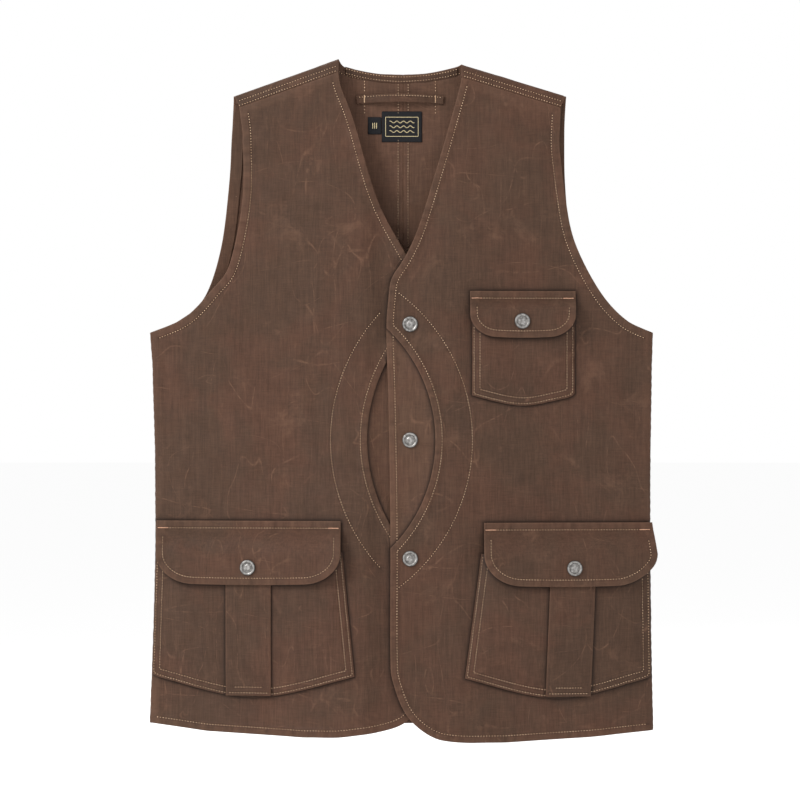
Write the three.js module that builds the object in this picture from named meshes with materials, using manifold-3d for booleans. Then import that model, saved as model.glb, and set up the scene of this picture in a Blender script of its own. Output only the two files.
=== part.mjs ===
// Fishing vest in waxed canvas: V neck, crescent pockets beside the front edge, two bellows
// pockets, one chest pocket, and six press snaps. Millimetres, +Z up, the front faces -Y and the
// wearer's left is +X. The origin is where a hook passes behind the hanger loop.

import * as THREE from 'three';
import { mergeVertices } from 'three/addons/utils/BufferGeometryUtils.js';
import Module from 'manifold-3d';

const wasm = await Module();
wasm.setup();

// ---------------------------------------------------------------- driving sizes

const halfChest = { left: 263, right: 260 };      // loop line to the side fold
const waistNip = { left: 3, right: 6 };           // how far the sides come in at the waist
const neckHeight = { left: 35, right: 40.5 };     // shoulder fold beside the neck
const halfNeck = 64;
const halfShoulder = 171;
const shoulderTip = 2.5;                          // height of the shoulder fold at the arm
const armholeInset = { left: 165.5, right: 163.5 };
const armholeDrop = 244;                          // loop to the bottom of the armhole
const neckDrop = 189;                             // loop to the point of the V
const hemDrop = 668;                              // loop to the lowest front hem
const backHemRaise = 16;                          // the back hem is this much shorter

const cloth = 1.2;                                // thickness of the canvas
const facingCloth = 0.8;                          // thickness of facings and linings
const clearance = 0.4;                            // gap between neighbouring layers

const frontStand = 12;                            // depth of the front ahead of the folds at z = 0
const frontLean = 0.042;                          // depth gained for each mm lower
const backStand = 10;
const backLean = 0.022;
const foldPlane = -8;                             // y of the side and shoulder folds
const sideShare = 0.15;                           // share of the depth left just inside the folds
const foldRadius = 10;
const foldMargin = 4;                             // the side fold piece starts this far inside its bend
const shoulderRadius = 28;
const seamDrop = 14;                              // shoulder fold to the shoulder seam in front

const foldLine = { left: 57, right: -40 };        // where the fronts fold open
const overlapEdge = -12;                          // edge of the left front
const underlapEdge = 24;                          // hidden edge of the right front

const snapRadius = 8.1;
const snapCap = 2.4;                              // how far a cap stands off the cloth
const snapSpace = 2.8;                            // between the two layers that a snap joins
const snapGap = 0.35;                             // between a snap's metal and the cloth
const postRadius = 2;
const postClearance = 0.4;
const clothHole = 3;                              // radius of the hole that a post passes through
const snapPitch = 121.5;
const firstSnap = -235.5;
const middleSnap = firstSnap - snapPitch + 1.5;
const frontSnapX = 10.5;

const crescent = {
  left: { reach: 36.6, radius: 158, bagReach: 75, bagRadius: 190 },
  right: { reach: -34, radius: 172, bagReach: -72, bagRadius: 195 },
};

const backSeamX = 3.3;                            // the felled seam between the two back halves
const backSeamHalf = 5;                           // half its width
const backNeckDip = 25.3;                         // height of the back neck edge at the centre
const armholeFacing = 12;
const neckFacingWidth = 20;
const loopHalfLength = 45.5;                      // hanger loop, a strip across the neck
const loopHalfSpan = 37;                          // from its middle to each row of tacking
const loopWidth = 9;
const loopBow = 6;                                // room for a hook behind it
const loopCloth = 1.4;
const labelX = 2;
const labelWidth = 42;
const labelHeight = 32;
const labelTop = -13;
const labelCloth = 0.6;
const sizeTabWidth = 15;
const sizeTabHeight = 18;
const sizeTabTop = -19;
const tabLap = 0.5;                               // how far the size tab runs under the label

const pocketSeat = 0.2;                           // extra gap under the edges of a pocket bag
const flapSeam = 8;                               // height of the band above each flap fold
const flapFoldStand = 3.2;                        // how far a flap's fold stands off the front
const liningGap = 0.3;                            // between a flap and its lining

const lowerPocket = { mouth: 24, bulge: 10 };
const chestPocket = { mouth: 12, bulge: 7 };

const canvas = new THREE.Color(0x5f4537);
const lining = new THREE.Color(0x6b5240);
const satin = new THREE.Color(0x15151a);
const nickel = new THREE.Color(0x8f8a84);

// ---------------------------------------------------------------- solids

function solidOf(geometry) {
  const bare = geometry.clone();
  bare.deleteAttribute('normal');
  bare.deleteAttribute('uv');
  const merged = mergeVertices(bare, 1e-4);
  const position = merged.attributes.position.array;
  const corners = merged.index.array;
  const kept = [];
  for (let i = 0; i < corners.length; i += 3) {
    const [a, b, c] = [corners[i], corners[i + 1], corners[i + 2]];
    if (a !== b && b !== c && c !== a) kept.push(a, b, c);
  }
  if (signedVolume(position, kept) < 0) kept.reverse();
  return new wasm.Manifold(new wasm.Mesh({
    numProp: 3,
    vertProperties: new Float32Array(position),
    triVerts: new Uint32Array(kept),
  }));
}

function signedVolume(position, corners) {
  const [a, b, c] = [new THREE.Vector3(), new THREE.Vector3(), new THREE.Vector3()];
  let sum = 0;
  for (let i = 0; i < corners.length; i += 3) {
    a.fromArray(position, corners[i] * 3);
    b.fromArray(position, corners[i + 1] * 3);
    c.fromArray(position, corners[i + 2] * 3);
    sum += a.dot(b.cross(c));
  }
  return sum / 6;
}

function geometryOf(solid) {
  const mesh = solid.getMesh();
  const geometry = new THREE.BufferGeometry();
  geometry.setAttribute('position', new THREE.BufferAttribute(mesh.vertProperties, 3));
  geometry.setIndex(new THREE.BufferAttribute(mesh.triVerts, 1));
  geometry.computeVertexNormals();
  return geometry;
}

// A prism along Y over an outline drawn in X and Z.
function prism(shape, curveSegments = 3) {
  const reach = 400;
  const geometry = new THREE.ExtrudeGeometry(shape, { depth: reach, bevelEnabled: false, curveSegments });
  geometry.rotateX(Math.PI / 2);
  geometry.translate(0, reach / 2, 0);
  return solidOf(geometry);
}

function block(x0, x1, z0, z1) {
  const geometry = new THREE.BoxGeometry(x1 - x0, 400, z1 - z0);
  geometry.translate((x0 + x1) / 2, 0, (z0 + z1) / 2);
  return solidOf(geometry);
}

// A closed plate between two surfaces y(x, z), over columns of points.
function plate(near, far, columns) {
  const rows = columns[0].length;
  const position = [];
  for (const surface of [near, far]) {
    for (const column of columns) {
      for (const [x, z] of column) position.push(x, surface(x, z), z);
    }
  }
  const layer = columns.length * rows;
  const at = (side, i, j) => side * layer + i * rows + j;
  const corners = [];
  const quad = (a, b, c, d) => corners.push(a, b, c, a, c, d);
  for (let i = 0; i + 1 < columns.length; i++) {
    for (let j = 0; j + 1 < rows; j++) {
      quad(at(0, i, j), at(0, i, j + 1), at(0, i + 1, j + 1), at(0, i + 1, j));
      quad(at(1, i, j), at(1, i + 1, j), at(1, i + 1, j + 1), at(1, i, j + 1));
    }
    quad(at(0, i, 0), at(0, i + 1, 0), at(1, i + 1, 0), at(1, i, 0));
    quad(at(0, i, rows - 1), at(1, i, rows - 1), at(1, i + 1, rows - 1), at(0, i + 1, rows - 1));
  }
  for (let j = 0; j + 1 < rows; j++) {
    quad(at(0, 0, j), at(1, 0, j), at(1, 0, j + 1), at(0, 0, j + 1));
    const last = columns.length - 1;
    quad(at(0, last, j), at(0, last, j + 1), at(1, last, j + 1), at(1, last, j));
  }
  const geometry = new THREE.BufferGeometry();
  geometry.setAttribute('position', new THREE.Float32BufferAttribute(position, 3));
  geometry.setIndex(corners);
  return solidOf(geometry);
}

function steps(from, to, count) {
  return Array.from({ length: count + 1 }, (_, i) => from + (to - from) * i / count);
}

// Columns over a plain rectangle, for a piece that lies on one panel.
function patchColumns(x0, x1, z0, z1, across, down) {
  return steps(x0, x1, across).map((x) => steps(z1, z0, down).map((z) => [x, z]));
}

// An outline: each step is a point, for a straight line, or a list of points, for a curve.
function outline(start, ...moves) {
  const shape = new THREE.Shape();
  shape.moveTo(...start);
  for (const move of moves) {
    if (Array.isArray(move[0])) shape.splineThru(move.map(([x, z]) => new THREE.Vector2(x, z)));
    else shape.lineTo(...move);
  }
  return shape;
}

// ---------------------------------------------------------------- the body's surfaces

const sideOf = (x) => (x < 0 ? 'right' : 'left');
const signOf = { left: 1, right: -1 };

function sideEdge(side, z) {
  const waist = -0.65 * hemDrop;
  const share = Math.min(1, Math.abs(z - waist) / (hemDrop - armholeDrop) * 2);
  return halfChest[side] - waistNip[side] * (1 - share * share);
}

function shoulderFold(x) {
  const run = halfShoulder - halfNeck;
  if (Math.abs(x) < halfNeck) {
    return neckHeight.right + (neckHeight.left - neckHeight.right) * (x + halfNeck) / (2 * halfNeck);
  }
  const top = neckHeight[sideOf(x)];
  return top - (top - shoulderTip) * (Math.abs(x) - halfNeck) / run;
}

function roundEdge(distance, radius) {
  const share = Math.min(1, Math.max(0, distance / radius));
  return Math.sqrt(1 - (1 - share) ** 2);
}

// The front is flat at the centre and falls back in two flat wings to the sides.
function frontPlane(x, z) {
  const knee = foldLine.left;
  const soft = 8;
  const past = Math.abs(x) - knee;
  const fall = past < -soft ? 0 : past > soft ? past : (past + soft) ** 2 / (4 * soft);
  const share = 1 - (1 - sideShare) * fall / (sideEdge(sideOf(x), z) - knee);
  return foldPlane - cloth - clearance / 2 - (frontStand + frontLean * Math.max(0, -z)) * share;
}

function frontFace(x, z) {
  const edge = foldPlane - cloth - clearance / 2;
  const rounded = roundEdge(sideEdge(sideOf(x), z) - Math.abs(x), foldRadius)
    * roundEdge(shoulderFold(x) - z, shoulderRadius);
  return edge + (frontPlane(x, z) - edge) * rounded;
}

function backFace(x, z) {
  const share = 1 - (1 - sideShare) * (Math.abs(x) / sideEdge(sideOf(x), z)) ** 2;
  const rounded = roundEdge(sideEdge(sideOf(x), z) - Math.abs(x), foldRadius)
    * roundEdge(shoulderFold(x) - z, shoulderRadius);
  const depth = backStand + backLean * Math.max(0, -z);
  return foldPlane + cloth + clearance / 2 + depth * share * rounded;
}

// The right front sinks behind the left one where the two overlap.
function rightFrontFace(x, z) {
  const start = foldLine.right;
  const share = Math.min(1, Math.max(0, (x - start) / (overlapEdge - 4 - start)));
  const sink = (2 * cloth + clearance + snapSpace) * share * share * (3 - 2 * share);
  return frontFace(x, z) + sink;
}

const panelRows = [-3, 0.6, 3, 7, 13, 20, 28, 60, 150, 285, 480, hemDrop + 50];

function panelColumns(side) {
  const sign = signOf[side];
  const edge = halfChest[side] + 1;
  const xs = steps(-sign * 66, sign * 66, 11);
  xs.push(...steps(sign * 90, sign * (edge - foldRadius - 1), 6), sign * (edge - 8), sign * (edge - 4));
  xs.push(sign * (edge - 2), sign * edge);
  return xs.map((x) => panelRows.map((d) => [x, shoulderFold(x) - d]));
}

// A layer of cloth: depth is measured from the outer face towards the inside.
function frontLayer(face, columns, depth, thickness) {
  return plate((x, z) => face(x, z) + depth, (x, z) => face(x, z) + depth + thickness, columns);
}

function backLayer(columns, depth, thickness) {
  return plate((x, z) => backFace(x, z) - depth - thickness, (x, z) => backFace(x, z) - depth, columns);
}

// ---------------------------------------------------------------- outlines

// Shares of the way out to the side and of the way down, from the shoulder to the side seam.
const armholeShares = {
  left: [[0, 0.2], [0.056, 0.4], [0.16, 0.61], [0.426, 0.82], [0.71, 0.945], [1, 1]],
  right: [[0, 0.15], [0, 0.43], [0.137, 0.706], [0.315, 0.81], [0.62, 0.935], [1, 1]],
};
const backArmholeShares = {
  left: [[0.06, 0.15], [0.07, 0.38], [0.15, 0.61], [0.42, 0.83], [0.7, 0.95], [1, 1]],
  right: [[0.12, 0.15], [0.15, 0.36], [0.24, 0.64], [0.42, 0.85], [0.7, 0.95], [1, 1]],
};

function armhole(side, shares) {
  const sign = signOf[side];
  const reach = halfChest[side] - armholeInset[side];
  return shares.map(([across, down]) => [sign * (armholeInset[side] + reach * across), -armholeDrop * down]);
}

// From a sharp corner at the side, the curve up to the shoulder.
function armholeUpwards(side) {
  const [corner, ...rest] = armhole(side, armholeShares[side]).reverse();
  return [corner, rest];
}

function sideSeam(side, hem) {
  const sign = signOf[side];
  const zs = steps(-armholeDrop - 30, hem, 4);
  return zs.map((z) => [sign * sideEdge(side, z), z]);
}

function shoulderSeam(side) {
  const sign = signOf[side];
  const line = (x) => [sign * x, shoulderFold(sign * x) - seamDrop];
  return { neck: line(halfNeck), tip: line(halfShoulder - 4) };
}

const leftHem = -hemDrop + 10;

function leftFrontOutline() {
  const seam = shoulderSeam('left');
  const neck = [[60, 3], [38, -0.39 * neckDrop], [15, -0.77 * neckDrop], [overlapEdge + 3, -neckDrop]];
  const edge = [[overlapEdge - 2, -neckDrop - 46], [overlapEdge, -neckDrop - 128],
    [overlapEdge + 2, -hemDrop + 220], [overlapEdge + 2, -hemDrop + 95], [overlapEdge + 5, -hemDrop + 62],
    [8, -hemDrop + 27], [36, -hemDrop + 5], [70, -hemDrop]];
  return outline(seam.neck, neck, edge, [110, -hemDrop], [200, -hemDrop + 5],
    [sideEdge('left', leftHem), leftHem + 1], ...sideSeam('left', leftHem + 4).reverse(),
    ...armholeUpwards('left'), seam.tip);
}

const rightHem = -hemDrop + 17;

function rightFrontOutline() {
  const seam = shoulderSeam('right');
  const neck = [[-61, 10], [-48, -0.13 * neckDrop], [-24, -0.555 * neckDrop], [4, -0.84 * neckDrop],
    [underlapEdge - 2, -neckDrop]];
  const corner = [[underlapEdge - 1, -hemDrop + 50], [8, -hemDrop + 23], [-20, -hemDrop + 11.5],
    [-65, -hemDrop + 5.5]];
  return outline(seam.neck, neck, [underlapEdge, -neckDrop - 20], [underlapEdge, -hemDrop + 75], corner,
    [-100, -hemDrop + 5.3], [-200, -hemDrop + 11], [-sideEdge('right', rightHem), rightHem + 2],
    ...sideSeam('right', rightHem + 5).reverse(), ...armholeUpwards('right'), seam.tip);
}

function backOutline(side) {
  const sign = signOf[side];
  const hem = -hemDrop + backHemRaise;
  const tip = [sign * (halfShoulder + 2), shoulderTip - 1];
  const neck = [[sign * 28, 26.5], [sign * (halfNeck - 8), 32], [sign * halfNeck, neckHeight[side]]];
  const arm = armhole(side, backArmholeShares[side]);
  return outline([backSeamX, hem], [backSeamX, backNeckDip], neck, tip, arm,
    ...sideSeam(side, hem + 3), [sign * 120, hem + 1]);
}

// The strip between a line of points and the same line set in by a width.
function band(points, width) {
  const curve = new THREE.SplineCurve(points.map(([x, z]) => new THREE.Vector2(x, z)));
  const outer = curve.getPoints(points.length * 3);
  const inner = outer.map((point, i) => {
    const tangent = curve.getTangent(i / (outer.length - 1));
    return new THREE.Vector2(point.x - tangent.y * width, point.y + tangent.x * width);
  });
  return new THREE.Shape([...outer, ...inner.reverse()]);
}

function arcRegion(reach, radius, sign) {
  const shape = new THREE.Shape();
  shape.absarc(reach - sign * radius, middleSnap, radius, 0, 2 * Math.PI, false);
  return prism(shape, 48);
}

// ---------------------------------------------------------------- snaps

function latheAlongY(profile, segments = 12) {
  return solidOf(new THREE.LatheGeometry(profile.map(([r, y]) => new THREE.Vector2(r, y)), segments));
}

// The four metal pieces of a snap, along Y from the face of the upper cloth.
function snapPieces(upper, lower, space) {
  const hole = postRadius + postClearance;
  const gap = snapGap;
  const top = upper + gap;
  const under = upper + space;
  const studTop = top + 1.1;
  const base = under + lower + gap;
  return {
    cap: latheAlongY([[0, -snapCap], [snapRadius * 0.75, -snapCap], [snapRadius, -snapCap * 0.6],
      [snapRadius, -gap], [postRadius, -gap], [postRadius, top + 0.5], [0, top + 0.5]]),
    socket: latheAlongY([[hole, top], [7, top], [6.2, top + 1.9], [3.6, top + 1.9], [3.6, top + 0.9],
      [hole, top + 0.9], [hole, top]]),
    stud: latheAlongY([[0, studTop], [2.6, studTop], [2.9, studTop + 0.4], [2.6, studTop + 0.8],
      [3, under - gap], [0, under - gap]]),
    post: latheAlongY([[0, under], [postRadius, under], [postRadius, base], [6.4, base],
      [5.6, base + 1], [0, base + 1]]),
  };
}

// ---------------------------------------------------------------- assembly

const vest = new THREE.Group();
const metalFinish = { roughness: 0.4, metalness: 1 };
const clothFinish = { roughness: 0.85, metalness: 0 };

function addPiece(name, solid, color, finish = clothFinish) {
  const mesh = new THREE.Mesh(geometryOf(solid), new THREE.MeshStandardMaterial({ color, ...finish }));
  mesh.name = name;
  vest.add(mesh);
}

// A snap stands square to the face it is pressed into.
function squareTo(face, [x, z]) {
  const reach = 4;
  const across = (face(x + reach, z) - face(x - reach, z)) / (2 * reach);
  const up = (face(x, z + reach) - face(x, z - reach)) / (2 * reach);
  const turn = [-Math.atan(up), 0, Math.atan(across)].map(THREE.MathUtils.radToDeg);
  return (solid) => solid.rotate(turn).translate([x, face(x, z), z]);
}

function pinHole(face, place) {
  const reach = 20;
  const profile = [[0, -reach], [clothHole, -reach], [clothHole, reach], [0, reach]];
  return squareTo(face, place)(latheAlongY(profile, 8));
}

function addSnap(name, place, face, upper, lower, space = snapSpace) {
  for (const [piece, solid] of Object.entries(snapPieces(upper, lower, space))) {
    addPiece(`${name}_${piece}`, squareTo(face, place)(solid), nickel, metalFinish);
  }
}

// Half spaces on each side of an upright line.
const towardsLeft = (x) => block(x, 500, -900, 100);
const towardsRight = (x) => block(-500, x, -900, 100);

// ---------------------------------------------------------------- fronts

const frontSnapHeights = [firstSnap, middleSnap, firstSnap - 2 * snapPitch + 0.5];
const frontFaces = { left: frontFace, right: rightFrontFace };
const frontOutlines = { left: leftFrontOutline(), right: rightFrontOutline() };

function addFront(side) {
  const sign = signOf[side];
  const columns = panelColumns(side);
  const blank = prism(frontOutlines[side]);
  const fold = foldLine[side];
  const outwards = sign > 0 ? towardsLeft : towardsRight;
  const inwards = sign > 0 ? towardsRight : towardsLeft;
  const { reach, radius, bagReach, bagRadius } = crescent[side];
  const opening = arcRegion(reach, radius, sign).intersect(inwards(reach + sign));
  const holes = frontSnapHeights.map((z) => pinHole(frontFace, [frontSnapX, z]));

  const outer = frontLayer(frontFaces[side], columns, 0, cloth).intersect(blank);
  const fixed = outer.intersect(outwards(fold + sign * clearance / 2));
  const turn = sign * (halfChest[side] - foldRadius - foldMargin);
  addPiece(`${side}_front_side`, fixed.intersect(inwards(turn - sign * clearance / 2)), canvas);
  addPiece(`${side}_side_fold`, fixed.intersect(outwards(turn + sign * clearance / 2)), canvas);
  const wing = outer.intersect(inwards(fold - sign * clearance / 2));
  const cutWing = wing.subtract(opening).subtract(holes[0]).subtract(holes[2]);
  addPiece(`${side}_front_wing`, cutWing, canvas);

  const under = frontLayer(frontFaces[side], columns, cloth + clearance, cloth);
  const bag = arcRegion(bagReach, bagRadius, sign).intersect(inwards(fold - sign * clearance / 2));
  const panel = under.intersect(blank).intersect(bag);
  addPiece(`${side}_crescent_panel`, holes.reduce((solid, hole) => solid.subtract(hole), panel), canvas);
}

addFront('left');
addFront('right');

const frontSnapNames = ['upper_snap', 'middle_snap', 'lower_snap'];
frontSnapNames.forEach((name, i) => {
  const place = [frontSnapX, frontSnapHeights[i]];
  const layer = cloth + clearance;
  if (i === 1) addSnap(name, place, (x, z) => frontFace(x, z) + layer, cloth, cloth, snapSpace + layer);
  else addSnap(name, place, frontFace, layer + cloth, layer + cloth);
});

// ---------------------------------------------------------------- shoulders and back

function addShoulderStrip(side) {
  const sign = signOf[side];
  const at = (x, drop) => [sign * x, shoulderFold(sign * x) - drop];
  const lower = seamDrop - clearance;
  const shape = outline(at(halfNeck, 0), at(halfShoulder + 1.5, 0), at(halfShoulder - 4, lower),
    at(halfNeck, lower));
  const strip = frontLayer(frontFace, panelColumns(side), 0, cloth).intersect(prism(shape));
  addPiece(`${side}_shoulder_strip`, strip, canvas);
}

function addBack(side) {
  const sign = signOf[side];
  const shape = prism(backOutline(side));
  const half = sign > 0 ? towardsLeft(backSeamX + clearance / 2) : towardsRight(backSeamX - clearance / 2);
  addPiece(`${side}_back`, backLayer(panelColumns(side), 0, cloth).intersect(shape).intersect(half), canvas);

  const edge = sideEdge(side, -armholeDrop);
  const [near, far] = [edge - foldRadius - 12, edge - foldRadius - 3].map((x) => sign * x);
  const hem = -hemDrop + backHemRaise + 1;
  const strip = outline([near, hem], [near, -armholeDrop - 4], [far, -armholeDrop - 4], [far, hem]);
  const raised = backLayer(panelColumns(side), -clearance - facingCloth, facingCloth);
  addPiece(`${side}_side_seam`, raised.intersect(prism(strip)), canvas);
}

function addArmholeFacings(side) {
  const sign = signOf[side];
  const tip = shoulderSeam(side).tip;
  const columns = panelColumns(side);
  const depth = cloth + clearance;
  const flat = halfChest[side] - foldRadius - foldMargin;
  const clip = sign > 0 ? towardsRight(flat) : towardsLeft(-flat);
  const frontShape = prism(band([tip, ...armhole(side, armholeShares[side])], -sign * armholeFacing), 1);
  const front = frontLayer(frontFace, columns, depth, facingCloth);
  addPiece(`${side}_armhole_facing_front`, front.intersect(frontShape).intersect(clip), lining);

  const backTip = [sign * (halfShoulder + 1), shoulderTip - 9];
  const backArm = [backTip, ...armhole(side, backArmholeShares[side])];
  const backShape = prism(band(backArm, -sign * armholeFacing), 1);
  const back = backLayer(columns, depth, facingCloth);
  addPiece(`${side}_armhole_facing_back`, back.intersect(backShape).intersect(clip), lining);
}

for (const side of ['left', 'right']) {
  addShoulderStrip(side);
  addBack(side);
  addArmholeFacings(side);
}

const [seamLeft, seamRight] = [backSeamX + backSeamHalf, backSeamX - backSeamHalf];
const [seamTop, seamFoot] = [backNeckDip - 1.3, -hemDrop + backHemRaise + 2];
const seamShape = block(seamRight, seamLeft, seamFoot, seamTop);
const backOuter = backLayer(panelColumns('left'), -clearance - facingCloth, facingCloth);
const centreSeam = backOuter.intersect(seamShape);
addPiece('centre_back_seam', centreSeam, canvas);

// Pieces on the inner face of the back, at the neck.
const inside = cloth + clearance;
const neckEdge = [[-58, 30.5], [-28, 25.5], [0, 24], [28, 25.5], [58, 30.5]];
const neckShape = prism(band(neckEdge, -neckFacingWidth), 1);
const neckFacing = backLayer(panelColumns('left'), inside, facingCloth).intersect(neckShape);
addPiece('back_neck_facing', neckFacing, lining);

function loopFace(x, z) {
  const bowed = Math.max(0, 1 - (x / loopHalfSpan) ** 2);
  return backFace(x, Math.min(z, 0)) - inside - facingCloth - clearance - loopBow * bowed;
}
const loopColumns = patchColumns(-loopHalfLength, loopHalfLength, -loopWidth / 2, loopWidth / 2, 14, 1);
const loop = plate((x, z) => loopFace(x, z) - loopCloth, loopFace, loopColumns);
addPiece('hanger_loop', loop, canvas);

const labelEnds = [labelX - labelWidth / 2, labelX + labelWidth / 2];
const labelColumns = patchColumns(...labelEnds, labelTop - labelHeight, labelTop, 2, 2);
const tabEdge = labelEnds[0] + tabLap;
const tabFoot = sizeTabTop - sizeTabHeight;
const tabColumns = patchColumns(tabEdge - sizeTabWidth, tabEdge, tabFoot, sizeTabTop, 1, 1);
const sizeTab = backLayer(tabColumns, inside, labelCloth);
addPiece('neck_label', backLayer(labelColumns, inside, labelCloth).add(sizeTab), satin);

// ---------------------------------------------------------------- pockets

// A pocket bag stands off the front in the middle and lies on it along its edges.
function addPocket(name, sizes) {
  const { inner, outer, hinge, mouth, bottom, sag, bulge, flap, snap, pleat } = sizes;
  const seat = cloth + clearance + pocketSeat;
  const mouthZ = hinge - mouth;
  const lerp = (pair, z) => pair[0] + (pair[1] - pair[0]) * (hinge - z) / (hinge - bottom);
  const standAt = (x, z) => {
    const centre = (lerp(inner, z) + lerp(outer, z)) / 2;
    const half = Math.abs(lerp(outer, z) - lerp(inner, z)) / 2;
    const across = Math.min(1, Math.abs(x - centre) / half);
    const down = Math.min(1, Math.max(0, (mouthZ - z) / (mouthZ - bottom + sag)));
    return seat + bulge * (1 - across ** 6) * (1 - down ** 3);
  };
  const bagFace = (x, z) => frontPlane(x, z) - standAt(x, z);
  const xs = (z, count) => steps(lerp(inner, z), lerp(outer, z), count);
  const shares = [0, 0.04, 0.1, 0.2, 0.4, 0.6, 0.8, 0.9, 0.96, 1];
  const rows = steps(mouthZ, bottom - sag - 2, 7);
  const columns = shares.map((t) => rows.map((z) => [lerp(inner, z) * (1 - t) + lerp(outer, z) * t, z]));
  const middle = (lerp(inner, bottom) + lerp(outer, bottom)) / 2;
  const corner = (x) => x + (middle - x) * 0.06;
  const shape = outline([lerp(inner, mouthZ), mouthZ], [lerp(inner, bottom), bottom],
    [[corner(lerp(inner, bottom)), bottom - 3], [middle, bottom - sag],
      [corner(lerp(outer, bottom)), bottom - 3]],
    [lerp(outer, bottom), bottom], [lerp(outer, mouthZ), mouthZ]);
  const raise = pleat ? facingCloth + clearance : 0;
  const stack = cloth + raise;

  // The flap: a band sewn to the front, and below its fold an outer layer and a lining.
  const layers = cloth + liningGap + facingCloth;
  const fullStand = standAt(...snap) + raise + snapSpace + layers;
  const flapFace = (x, z) => {
    const share = Math.min(1, Math.max(0, (hinge - z) / (hinge - snap[1] - snapRadius - 1)));
    const stand = flapFoldStand + (fullStand - flapFoldStand) * (1 - (1 - share) ** 2);
    return frontPlane(x, z) - stand;
  };
  const hole = pinHole(flapFace, snap);
  const bag = plate(bagFace, (x, z) => bagFace(x, z) + cloth, columns).intersect(prism(shape));
  addPiece(`${name}_pocket_bag`, bag.subtract(hole), canvas);
  if (pleat) {
    const face = (x, z) => bagFace(x, z) - raise;
    const at = (z) => pleat.x + (pleat.lean * (hinge - z)) / (hinge - bottom);
    const pleatRows = steps(mouthZ - 1, bottom - sag + 2, 7);
    const pleatXs = steps(-pleat.width / 2, pleat.width / 2, 3);
    const pleatColumns = pleatXs.map((x) => pleatRows.map((z) => [at(z) + x, z]));
    const strip = plate(face, (x, z) => face(x, z) + facingCloth, pleatColumns);
    addPiece(`${name}_pocket_pleat`, strip.subtract(hole), canvas);
  }
  const [x0, x1] = flap.span;
  const r = flap.corner;
  const low = flap.bottom;
  const turn = Math.sign(x1 - x0);
  const flapShape = outline([x0, hinge - 0.2], [x0, low + r], [[x0 + turn * r * 0.3, low + r * 0.3],
    [x0 + turn * r, low + 1]], [(x0 + x1) / 2, low], [x1 - turn * r, low + 1],
    [[x1 - turn * r * 0.3, low + r * 0.3], [x1, low + r]], [x1, hinge - 0.2]);
  const flapColumns = patchColumns(x0, x1, low - 1, hinge, 4, 6);
  const flapPrism = prism(flapShape, 2);
  const flapOuter = plate(flapFace, (x, z) => flapFace(x, z) + cloth, flapColumns).intersect(flapPrism);
  addPiece(`${name}_flap`, flapOuter.subtract(hole), canvas);
  const liningFace = (x, z) => flapFace(x, z) + cloth + liningGap;
  const liningPlate = plate(liningFace, (x, z) => liningFace(x, z) + facingCloth, flapColumns);
  const backing = liningPlate.intersect(flapPrism);
  addPiece(`${name}_flap_lining`, backing.subtract(hole), lining);

  const bandColumns = patchColumns(x0, x1, hinge + 0.4, hinge + flapSeam, 6, 1);
  const bandFace = (x, z) => frontPlane(x, z) - flapFoldStand + 0.2;
  addPiece(`${name}_flap_band`, plate(bandFace, (x, z) => bandFace(x, z) + 2 * cloth, bandColumns), canvas);
  addSnap(`${name}_snap`, snap, flapFace, layers, stack);
}

const lowerHinge = -hemDrop + 219;
addPocket('left', {
  inner: [87, 67.3],
  outer: [halfChest.left - 4, halfChest.left - 2],
  hinge: lowerHinge,
  mouth: lowerPocket.mouth,
  bottom: -hemDrop + 68,
  sag: 23,
  bulge: lowerPocket.bulge,
  flap: { span: [87, halfChest.left - 1], bottom: lowerHinge - 58, corner: 34 },
  snap: [180.2, lowerHinge - 39],
  pleat: { x: 181, lean: -6, width: 47 },
});
addPocket('right', {
  inner: [-62, -47],
  outer: [-halfChest.right + 7, -halfChest.right + 2],
  hinge: lowerHinge + 2,
  mouth: lowerPocket.mouth,
  bottom: -hemDrop + 70,
  sag: 24,
  bulge: lowerPocket.bulge,
  flap: { span: [-61.4, -halfChest.right + 7], bottom: lowerHinge - 56, corner: 34 },
  snap: [-157.2, lowerHinge - 38],
  pleat: { x: -157, lean: 0, width: 47 },
});
addPocket('chest', {
  inner: [74.5, 74.5],
  outer: [181.4, 181.4],
  hinge: -209,
  mouth: chestPocket.mouth,
  bottom: -307,
  sag: 13,
  bulge: chestPocket.bulge,
  flap: { span: [72.7, 182.3], bottom: -249.6, corner: 25 },
  snap: [126.4, -232.4],
});

export default vest;
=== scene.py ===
"""Looks of the fishing vest: waxed canvas panels with turned hems and topstitching, pockets, snaps.

Lengths are millimetres until a mesh is made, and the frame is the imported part's own frame.
"""

import math

import bpy
import numpy as np
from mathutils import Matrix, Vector
from mathutils.geometry import delaunay_2d_cdt
from mathutils.kdtree import KDTree


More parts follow.
